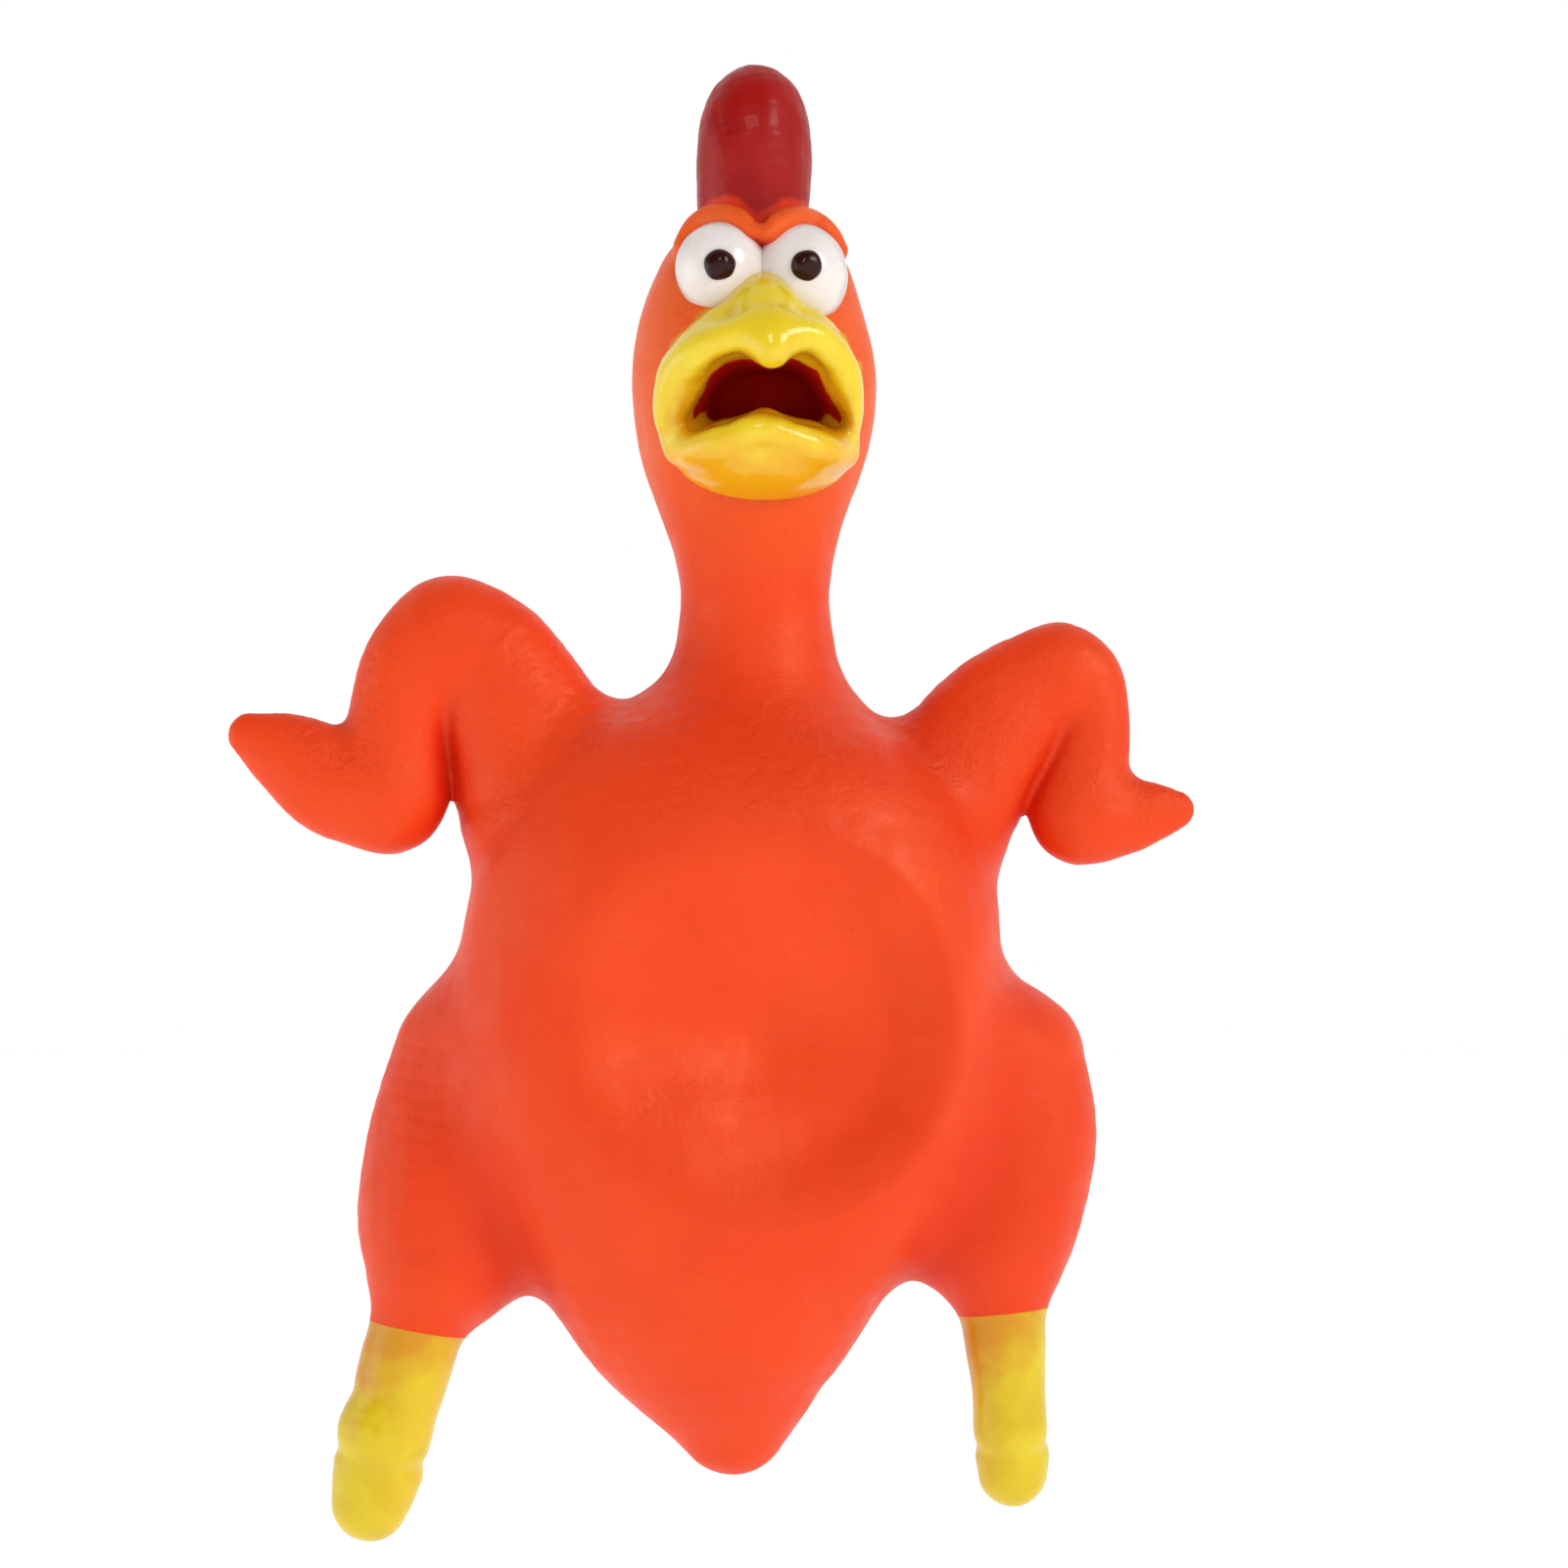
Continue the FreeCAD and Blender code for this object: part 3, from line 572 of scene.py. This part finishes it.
class Shader:
    """A node material on one Principled shader, with short helpers."""

    def __init__(self, name):
        self.material = bpy.data.materials.new(name)
        self.material.use_nodes = True
        self.tree = self.material.node_tree
        self.nodes = self.tree.nodes
        self.links = self.tree.links
        self.main = self.nodes["Principled BSDF"]
        self.place = self.nodes.new("ShaderNodeTexCoord").outputs["Object"]

    def set(self, **values):
        """Sets the shader's sockets, named with _ for a space."""
        for name, value in values.items():
            self.main.inputs[name.replace("_", " ")].default_value = value

    def noise(self, scale, detail=3.0, roughness=0.55, distortion=0.0):
        """Noise whose scale is in bumps per metre."""
        node = self.nodes.new("ShaderNodeTexNoise")
        values = {"Scale": scale, "Detail": detail, "Roughness": roughness, "Distortion": distortion}
        for name, value in values.items():
            node.inputs[name].default_value = value
        self.links.new(self.place, node.inputs["Vector"])
        return node.outputs["Fac"]

    def mark(self, name):
        """One of the marks that a mesh carries on its vertices."""
        node = self.nodes.new("ShaderNodeAttribute")
        node.attribute_name = name
        return node.outputs["Fac"]

    def span(self, value, low, high, out_low=0.0, out_high=1.0):
        return map_range(self.tree, value, low, high, out_low, out_high)

    def math(self, operation, a, b):
        node = self.nodes.new("ShaderNodeMath")
        node.operation = operation
        for socket, value in zip(node.inputs, (a, b)):
            if isinstance(value, (int, float)):
                socket.default_value = value
            else:
                self.links.new(value, socket)
        return node.outputs["Value"]

    def mix(self, share, first, second):
        node = self.nodes.new("ShaderNodeMix")
        node.data_type = "RGBA"
        self.links.new(share, node.inputs["Factor"])
        for name, value in (("A", first), ("B", second)):
            socket = [s for s in node.inputs if s.name == name and s.type == "RGBA"][0]
            if isinstance(value, tuple):
                socket.default_value = (*value, 1.0)
            else:
                self.links.new(value, socket)
        return [s for s in node.outputs if s.type == "RGBA"][0]

    def colour(self, value):
        self.links.new(value, self.main.inputs["Base Color"])

    def roughness(self, value):
        self.links.new(value, self.main.inputs["Roughness"])

    def bump(self, height, strength, distance, below=None):
        node = self.nodes.new("ShaderNodeBump")
        node.inputs["Strength"].default_value = strength
        node.inputs["Distance"].default_value = distance
        self.links.new(height, node.inputs["Height"])
        if below is not None:
            self.links.new(below, node.inputs["Normal"])
        self.links.new(node.outputs["Normal"], self.main.inputs["Normal"])
        return node.outputs["Normal"]


def latex_material():
    """Orange-red moulded latex: satin, a little translucent, with fine plucked-skin relief."""
    skin = Shader("latex_skin")
    skin.set(Metallic=0.0, IOR=1.45, Specular_IOR_Level=0.65, Specular_Tint=(1.0, 0.62, 0.38, 1.0),
             Subsurface_Weight=0.12, Subsurface_Radius=(1.0, 0.22, 0.05), Subsurface_Scale=0.003)
    cloudy = skin.span(skin.noise(38.0, 3.0), 0.35, 0.65)
    tone = skin.mix(cloudy, (0.80, 0.044, 0.004), (0.85, 0.060, 0.007))
    head = skin.mark("head")
    tone = skin.mix(head, tone, (0.84, 0.105, 0.012))
    # Painted shade: darker, deeper red in folds and creases, where shade falls.
    crease_shade = skin.span(skin.mark("crease_shade"), 0.05, 0.85)
    tone = skin.mix(crease_shade, tone, (0.70, 0.020, 0.002))
    speckle = skin.span(skin.noise(900.0, 2.0), 0.62, 0.74, 0.0, 0.35)
    tone = skin.mix(speckle, tone, (0.72, 0.036, 0.004))
    skin.colour(skin.mix(skin.mark("spill"), tone, (0.70, 0.46, 0.016)))
    skin.roughness(skin.span(skin.noise(260.0, 4.0), 0.3, 0.7, 0.42, 0.58))
    ripples = skin.noise(430.0, 3.0, 0.6, 0.8)
    plucked = skin.math("MULTIPLY", ripples, skin.mark("pluck"))
    first = skin.bump(plucked, 0.55, 0.0009)
    skin.bump(skin.noise(1500.0, 3.0, 0.6), 0.16, 0.0004, first)
    return skin.material


def paint_material(name, base, shade, tints=(), rough=0.22, coat=0.4, bump=0.10, gloss=0.3):
    """Hand-sprayed paint on latex, uneven in thickness; it also makes the mouth's painted shadow. Tints
    are (mark, colour) pairs over it, some of them painted shade.
    """
    paint = Shader(name)
    paint.set(Metallic=0.0, IOR=1.48, Specular_IOR_Level=gloss, Coat_Weight=coat, Coat_Roughness=0.07,
              Subsurface_Weight=0.05, Subsurface_Radius=(1.0, 0.6, 0.1), Subsurface_Scale=0.002)
    thin = paint.span(paint.noise(120.0, 4.0, 0.6, 0.6), 0.36, 0.66)
    tone = paint.mix(thin, base, shade)
    for mark, colour in tints:
        mottle = paint.span(paint.noise(240.0, 3.0), 0.3, 0.7, -0.22, 0.22)
        uneven = paint.math("ADD", paint.mark(mark), mottle)
        tone = paint.mix(paint.span(uneven, 0.25, 0.85), tone, colour)
    paint.colour(tone)
    paint.roughness(paint.span(paint.noise(420.0, 3.0), 0.3, 0.7, rough - 0.06, rough + 0.08))
    first = paint.bump(paint.noise(210.0, 3.0, 0.5, 0.4), bump, 0.0012)
    paint.bump(paint.noise(1300.0, 2.0), bump * 0.6, 0.0003, first)
    return paint.material


def plastic_material():
    """Natural white moulded plastic with faint flow marks."""
    plastic = Shader("whistle_plastic")
    plastic.set(Metallic=0.0, IOR=1.46, Subsurface_Weight=0.1, Subsurface_Radius=(1.0, 0.9, 0.8),
                Subsurface_Scale=0.002)
    flow = plastic.span(plastic.noise(160.0, 3.0, 0.5, 1.5), 0.35, 0.65)
    plastic.colour(plastic.mix(flow, (0.74, 0.73, 0.67), (0.80, 0.79, 0.74)))
    plastic.roughness(plastic.span(plastic.noise(600.0), 0.3, 0.7, 0.32, 0.48))
    plastic.bump(plastic.noise(1800.0), 0.12, 0.0002)
    return plastic.material


def brass_material():
    """Rolled reed strip with fine scratches."""
    brass = Shader("reed_brass")
    brass.set(Metallic=1.0)
    dull = brass.span(brass.noise(900.0, 4.0, 0.6, 2.0), 0.35, 0.65)
    brass.colour(brass.mix(dull, (0.78, 0.58, 0.24), (0.62, 0.44, 0.18)))
    brass.roughness(brass.span(brass.noise(2600.0), 0.3, 0.7, 0.22, 0.42))
    brass.bump(brass.noise(5200.0), 0.08, 0.0001)
    return brass.material


LATEX = latex_material()
# Beak paint. Its crease tint is painted shade in the beak's folds and creases.
YELLOW = paint_material("beak_yellow", (0.82, 0.57, 0.010), (0.86, 0.66, 0.028),
                        # The chin tint is painted shade with a painted reflection of the orange body,
                        # low on the beak.
                        [("chin", (0.84, 0.43, 0.005)), ("crease_shade", (0.72, 0.34, 0.004))], rough=0.26)
# Leg paint. Its amber tint is partly thin paint near the top edge and partly painted shade on the side
# turned from the key light.
LEG_YELLOW = paint_material("leg_yellow", (0.68, 0.47, 0.006), (0.75, 0.56, 0.014),
                            [("amber", (0.66, 0.28, 0.003))], rough=0.32, coat=0.14, bump=0.015)
RED = paint_material("comb_red", (0.31, 0.002, 0.001), (0.38, 0.005, 0.002),
                     [("overspray", (0.74, 0.040, 0.005))], rough=0.44, coat=0.06, bump=0.04,
                     gloss=0.2)
# Painted shadow: the dark maroon of the mouth's inside, where shade falls deep in the open mouth.
MOUTH_SHADOW = paint_material("mouth_shadow_maroon", (0.40, 0.006, 0.0005), (0.46, 0.008, 0.001), rough=0.7,
                        coat=0.0, gloss=0.05)
# Eye paint. Its rim tint is painted shade round the eye's edge where it meets the head, with a little
# latex showing through the thinner paint there.
WHITE = paint_material("eye_white", (0.84, 0.77, 0.73), (0.88, 0.82, 0.79),
                       [("rim", (0.60, 0.51, 0.50))], rough=0.24, bump=0.04)
BROWN = paint_material("pupil_brown", (0.022, 0.003, 0.002), (0.030, 0.004, 0.003), coat=0.12,
                       bump=0.08, gloss=0.2)
PLASTIC = plastic_material()
BRASS = brass_material()


# ---- pieces of the moulding ---------------------------------------------------------
# Corners of the box that the moulding is worked out in.
SKIN_LOW = (-76.0, -36.0, -76.0)
SKIN_HIGH = (68.0, 36.0, 118.0)

# The neck bends sideways between the first two heights, and nods between the last two.
NECK_LOW = 43.8
NECK_MIDDLE = 51.5
NECK_HIGH = 62.5
NECK_X = 2.0
NECK_HALF = 19.0                # half width of the column that the neck's pieces are cut from
SEAM_ROOM = 0.7                 # a seam stays this far out of the bending stretch

# The squeezed belly's front skin within this distance of the bowl's middle is cut into slices round it,
# and the seams between them are straightened onto lines out from that middle.
BELLY_RIM = 25.5
BELLY_SLICES = 16
SLICE_TURN = TAU / BELLY_SLICES

WING_INNER = 19.0               # a wing's skin lies further out than this
WING_HEIGHTS = (12.0, 66.0)
LEG_TOP = -20.0                 # the leg pieces lie below this height
PAINT_TOP = -30.0               # and the amber in their paint below this one
TOE_CREASE = 2.4                # height of the toes' crease over the first toe stop
TOE_CREASE_CURVE = 0.05

# Where the skin's marks lie.
CHEST_Z = 38.0                  # plucked skin is roughest round this height
CHEST_SPREAD = 11.0
ELBOW_Z = 47.0
ELBOW_SPREAD = 10.0
ELBOW_INNER = 20.0              # the elbows' plucked skin lies further out than this
HEAD_TINT = (60.0, 78.0)        # the head's lighter orange comes in between these
SPILL_HEIGHTS = (87.0, 100.0)   # yellow paint spills over the beak's edge between these


def along(centres, origin, direction):
    """How far points lie along a direction of the front view, from a point of it."""
    return (centres[:, 0] - origin[0]) * direction[0] + (centres[:, 2] - origin[1]) * direction[1]


def belly_ray(turn):
    """Direction of the front view at an angle round the bowl's middle."""
    return (math.cos(turn), math.sin(turn))


def slice_name(number):
    """Name of a slice of the belly. Numbers go round and start again."""
    return "skin_belly_%02d" % (number % BELLY_SLICES)


def name_belly(centres, names):
    """Marks the front skin in the squeezed bowl as slices round its middle."""
    x = centres[:, 0] - DENT_CENTRE[0]
    z = centres[:, 2] - DENT_CENTRE[1]
    inside = (np.hypot(x, z) < BELLY_RIM) & (centres[:, 1] < 0)
    numbers = np.rint(np.arctan2(z, x) / SLICE_TURN).astype(int) % BELLY_SLICES
    for number in range(BELLY_SLICES):
        names[inside & (numbers == number)] = slice_name(number)


def sort_quads(points, quads):
    """Names the piece that each quad belongs to."""
    centres = points[quads].mean(axis=1)
    x, z = centres[:, 0], centres[:, 2]
    names = np.full(len(quads), "skin_torso", dtype="<U24")
    name_belly(centres, names)
    column = (np.abs(x - NECK_X) < NECK_HALF) & (z > NECK_LOW)
    names[column] = "skin_neck_low"
    names[(z > NECK_MIDDLE) & column] = "skin_neck_high"
    names[z > NECK_HIGH] = "skin_head"
    for side, sign in OUTWARD.items():
        outer = x * sign
        wing = (along(centres, *WINGS[side]["plane"]) > 0) & (outer > WING_INNER)
        wing &= (z > WING_HEIGHTS[0]) & (z < WING_HEIGHTS[1])
        names[wing] = "skin_" + side + "_wing"
        leg = LEGS[side]
        limb = (outer > leg["inner"]) & (z < LEG_TOP)
        shank = limb & (along(centres, leg["notch"], leg["down"]) > leg["bend"][0] - SEAM_ROOM)
        names[shank] = "skin_" + side + "_shank"
        painted = limb & (along(centres, *leg["paint"]) > 0)
        names[painted] = side + "_leg_paint"
        toe_x, _, toe_z, _ = leg["toe"][0]
        crease = toe_z + TOE_CREASE + TOE_CREASE_CURVE * np.square(x - toe_x)
        names[painted & (z < crease)] = side + "_foot_paint"
    return names


def straighten(points, quads, first, second, origin, normal):
    """Moves the vertices shared by two pieces onto the straight front-view line between them."""
    shared = np.intersect1d(np.unique(quads[first]), np.unique(quads[second]))
    for _ in range(2):
        off = along(points[shared], origin, normal)
        points[shared, 0] -= off * normal[0]
        points[shared, 2] -= off * normal[1]
        points[shared] = settle(moulding, points[shared], 1)


def straighten_seams(points, quads, names):
    """Straightens the paint lines of the legs and the seams between the belly's slices."""
    for side in SIDES:
        painted = names == side + "_leg_paint"
        shank = names == "skin_" + side + "_shank"
        straighten(points, quads, painted, shank, *LEGS[side]["paint"])
    for number in range(BELLY_SLICES):
        here = names == slice_name(number)
        beside = names == slice_name(number + 1)
        normal = belly_ray((number + 0.5) * SLICE_TURN + TAU / 4)
        straighten(points, quads, here, beside, DENT_CENTRE, normal)


def skin_marks(points, normals):
    """Marks for the skin's materials: painted shade in folds, plucked relief, and where paint and tints
    lie.
    """
    # How closed in each point is, which darkens its colour as painted shade.
    crease_shade = closeness(moulding, points, normals)
    height = points[:, 2]
    chest = np.exp(-np.square((height - CHEST_Z) / CHEST_SPREAD))
    elbow = np.exp(-np.square((height - ELBOW_Z) / ELBOW_SPREAD))
    elbow *= np.abs(points[:, 0]) > ELBOW_INNER
    belly = 0.16 + 0.12 * waves(points, 30.0, 61)
    pluck = np.clip(np.maximum(chest, 0.7 * elbow) * (0.75 + 0.3 * waves(points, 16.0, 62)), 0.0, 1.0)
    pluck = np.clip(np.maximum(pluck, belly), 0.06, 1.0)
    # Amber on the leg paint: the yellow is thinner just below its top edge, and it is darker towards -X,
    # the side turned from the key light, as painted shade.
    amber = np.zeros(len(points))
    for side, sign in OUTWARD.items():
        leg = LEGS[side]
        here = (points[:, 0] * sign > leg["inner"]) & (height < PAINT_TOP)
        down = along(points, *leg["paint"])
        middle_x, _, _, half_width = leg["leg"][2]
        across = (points[:, 0] - middle_x) / half_width
        amber[here] = np.clip(0.95 - down / 14.0 - 0.3 * across, 0.0, 1.0)[here]
    low, high = HEAD_TINT
    head = np.clip((height - low) / (high - low), 0.0, 1.0)
    low, high = SPILL_HEIGHTS
    spill = np.clip((1.1 + 0.45 * waves(points, 3.2, 63) - beak(points)) * 2.0, 0.0, 1.0)
    spill *= np.clip((height - low) / 1.5, 0.0, 1.0) * (height < high)
    return {"crease_shade": crease_shade, "pluck": pluck, "amber": amber, "head": head, "spill": spill}


def paint_piece(piece, material):
    """Gives a piece one material in place of any it has."""
    piece.data.materials.clear()
    piece.data.materials.append(material)


def replace(piece, slot, *nodes):
    """Hides the CAD nodes that a piece stands for. The piece and slot arguments are not used."""
    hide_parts(*nodes)


def build_moulding():
    """Pieces of the latex skin by name."""
    points, quads = surface(moulding, SKIN_LOW, SKIN_HIGH, SKIN_PITCH)
    names = sort_quads(points, quads)
    straighten_seams(points, quads, names)
    normals = unit_normals(moulding, points)
    marks = skin_marks(points, normals)
    pieces = {}
    for name in sorted(set(names)):
        pieces[name] = make_piece(name, points, quads[names == name], normals, marks)
        paint_piece(pieces[name], LEG_YELLOW if name.endswith("paint") else LATEX)
    return pieces


def place_moulding(pieces):
    """Rides some pieces of the moulding on their bodies, bakes the rest in place, and hides the CAD
    nodes that they stand for.
    """
    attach(pieces["skin_torso"], "torso")
    replace(pieces["skin_torso"], "skin_latex", "torso_shell", "tail_shell", "left_thigh", "right_thigh")

    for number in range(BELLY_SLICES):
        belly = pieces[slice_name(number)]
        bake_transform(belly)
        replace(belly, "skin_latex", "belly_panel")

    low = pieces["skin_neck_low"]
    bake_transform(low)
    replace(low, "skin_latex", "neck_shell")
    high = pieces["skin_neck_high"]
    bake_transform(high)
    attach(pieces["skin_head"], "head")
    replace(pieces["skin_head"], "skin_latex", "head_shell")

    for side in SIDES:
        wing = pieces["skin_" + side + "_wing"]
        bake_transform(wing)
        replace(wing, "skin_latex", side + "_upper_wing", side + "_fore_wing", side + "_wing_tip")
        shank = pieces["skin_" + side + "_shank"]
        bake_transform(shank)
        replace(shank, "skin_latex", side + "_shank")
        for part in ("leg", "foot"):
            painted = pieces[side + "_" + part + "_paint"]
            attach(painted, side + "_lower_leg")
            replace(painted, "leg_paint", side + "_" + part)


# ---- painted pieces -----------------------------------------------------------------
def feature(name, node, field, low, high, pitch, material, slot, marks=None, keep=None):
    """One painted feature of the head, riding on it. Keep says which quads belong to it."""
    points, quads = surface(field, low, high, pitch)
    if keep is not None:
        quads = quads[keep(points[quads].mean(axis=1))]
    normals = unit_normals(field, points)
    # How closed in each point is, for painted shade in the feature's creases.
    values = {"crease_shade": closeness(field, points, normals)}
    if marks is not None:
        values.update(marks(points))
    piece = make_piece(name, points, quads, normals, values)
    paint_piece(piece, material)
    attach(piece, "head")
    replace(piece, slot, node)


def beak_parting(points):
    """Above 0 on the upper beak. The two halves part at the corners of the mouth."""
    return points[:, 2] - PARTING_Z + PARTING_SLOPE * np.abs(points[:, 0] - FACE_X)


def lower_beak_shade_mark(points):
    """Painted shade and a painted reflection of the orange body: deeper, more orange yellow low on the
    beak.
    """
    return {"chin": np.clip((83.0 - points[:, 2]) / 9.0, 0.0, 0.9)}


def overspray_mark(points):
    """Orange that was sprayed a little way up the comb's root."""
    return {"overspray": np.clip(1.25 - moulding(points) / 1.5, 0.0, 1.0)}


def eye_rim_shade_mark(side):
    """Painted shade round the edge of an eye, where it meets the head, with a little latex showing
    through the thinner paint there.
    """
    (x, _, z), half_width, half_height = EYES[side]

    def mark(points):
        across = (points[:, 0] - x) / half_width
        up = (points[:, 2] - z) / half_height
        return {"rim": np.clip((np.hypot(across, up) - 0.80) * 4.0, 0.0, 1.0)}
    return mark


def build_head():
    """Beak, mouth, comb, eyes and pupils."""
    low, high = (-18, -30, 66), (24, -4, 110)
    feature("beak_upper", "upper_beak", beak, low, high, FINE_PITCH, YELLOW, "beak_paint",
            lower_beak_shade_mark, lambda centres: beak_parting(centres) > 0)
    feature("beak_lower", "lower_beak", beak, low, high, FINE_PITCH, YELLOW, "beak_paint",
            lower_beak_shade_mark, lambda centres: beak_parting(centres) <= 0)
    feature("mouth_inside", "mouth_lining", lining, (-12, -26, 74), (19, 4, 98), FINE_PITCH,
            MOUTH_SHADOW, "mouth_paint")
    feature("comb_red", "comb", comb, (-9, -13, 98), (13, 20, 134), FINE_PITCH, RED, "comb_paint",
            overspray_mark)
    for side in SIDES:
        x, y, z = EYES[side][0]
        low, high = (x - 9, y - 8, z - 9), (x + 9, y + 4, z + 9)
        feature(side + "_eye_white", side + "_eye", eye_shape(side), low, high, FINE_PITCH, WHITE,
                "eye_paint", eye_rim_shade_mark(side))
        low, high = (x - 5, y - 9, z - 5), (x + 5, y - 2, z + 6)
        feature(side + "_pupil_dome", side + "_pupil", pupil_shape(side), low, high,
                FINE_PITCH * 0.6, BROWN, "pupil_paint")


def finish_whistle():
    """Gives the carried-over whistle nodes their materials."""
    for node in ("whistle_tube", "whistle_cap", "reed_seat", "reed_wedge"):
        paint_piece(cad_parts[node], PLASTIC)
    paint_piece(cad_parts["reed"], BRASS)


# ---- stage --------------------------------------------------------------------------
VIEW_SPAN = 0.2125              # metres that the picture spans at the chicken
VIEW_CENTRE = (0.0058, 0.0, 0.0331)
CAMERA_DISTANCE = 1.0
SENSOR = 36.0
FLOOR_Z = -0.15
FLOOR_RADIUS = 4.0
FLOOR_SIDES = 64
FLOOR_GLOW = 0.40               # keeps the floor as white as the room round it
WORLD_FRONT = 0.11              # brightness on the side the chicken faces, above the horizon
WORLD_BACK = 1.0                # and all round elsewhere
WORLD_FADE = (-0.25, 0.6)       # one turns into the other between these shares of +Y
HORIZON_BAND = (0.12, 0.24)     # and, above the horizon, between these shares of +Z
KEY_AIM = (-0.68, 0.58, -0.45)
KEY_STRENGTH = 1.42
KEY_SPREAD = 26                 # degrees across


def build_camera():
    data = bpy.data.cameras.new("camera")
    data.sensor_width = SENSOR
    data.lens = SENSOR * CAMERA_DISTANCE / VIEW_SPAN
    data.clip_start = 0.01
    camera = add_object("camera", data)
    x, y, z = VIEW_CENTRE
    camera.location = (x, y - CAMERA_DISTANCE, z)
    camera.rotation_euler = (math.radians(90), 0, 0)
    bpy.context.scene.camera = camera


def turn_towards(light, aim):
    """Turns a light, which shines down its own -Z, to shine along aim."""
    down = math.atan2(math.hypot(aim[0], aim[1]), -aim[2])
    light.rotation_euler = (down, 0, math.atan2(aim[1], aim[0]) - math.pi / 2)


def area_light(name, location, size, watts):
    """A square soft light that faces the middle of the view."""
    data = bpy.data.lights.new(name, "AREA")
    data.size = size
    data.energy = watts
    light = add_object(name, data)
    light.location = location
    turn_towards(light, np.array(VIEW_CENTRE) - np.array(location))


def sun(name, aim, strength, spread):
    """A far soft light that shines along aim."""
    data = bpy.data.lights.new(name, "SUN")
    data.energy = strength
    data.angle = math.radians(spread)
    turn_towards(add_object(name, data), aim)


def build_world():
    """White all round, dimmer above the horizon in front of the chicken, as a room is there."""
    world = bpy.data.worlds.new("studio")
    bpy.context.scene.world = world
    world.use_nodes = True
    tree = world.node_tree
    split = tree.nodes.new("ShaderNodeSeparateXYZ")
    direction = tree.nodes.new("ShaderNodeTexCoord").outputs["Generated"]
    tree.links.new(direction, split.inputs["Vector"])
    fade = map_range(tree, split.outputs["Y"], *WORLD_FADE, WORLD_FRONT, WORLD_BACK)
    band = map_range(tree, split.outputs["Z"], *HORIZON_BAND, WORLD_BACK, WORLD_FRONT)
    brighter = tree.nodes.new("ShaderNodeMath")
    brighter.operation = "MAXIMUM"
    tree.links.new(fade, brighter.inputs[0])
    tree.links.new(band, brighter.inputs[1])
    background = tree.nodes["Background"]
    background.inputs["Color"].default_value = (1.0, 1.0, 1.0, 1.0)
    tree.links.new(brighter.outputs["Value"], background.inputs["Strength"])


def build_floor():
    turns = [TAU * number / FLOOR_SIDES for number in range(FLOOR_SIDES)]
    rim = [(FLOOR_RADIUS * math.cos(t), FLOOR_RADIUS * math.sin(t), FLOOR_Z) for t in turns]
    mesh = bpy.data.meshes.new("floor")
    mesh.from_pydata(rim, [], [tuple(range(FLOOR_SIDES))])
    floor = add_object("floor", mesh)
    pale = Shader("floor_pale")
    shade = pale.span(pale.noise(6.0), 0.3, 0.7)
    pale.colour(pale.mix(shade, (0.90, 0.90, 0.90), (0.93, 0.93, 0.93)))
    pale.set(Roughness=0.9, Emission_Color=(1.0, 1.0, 1.0, 1.0), Emission_Strength=FLOOR_GLOW)
    paint_piece(floor, pale.material)


def build_stage():
    """Floor, room and lights."""
    build_floor()
    build_world()
    sun("key", KEY_AIM, KEY_STRENGTH, KEY_SPREAD)
    area_light("window", (-0.10, -0.62, 0.45), 0.14, 0.6)
    area_light("left_card", (-0.75, -0.10, 0.10), 0.5, 1.2)
    bpy.context.scene.view_settings.view_transform = "Standard"


build_camera()
build_stage()
place_moulding(build_moulding())
build_head()
finish_whistle()
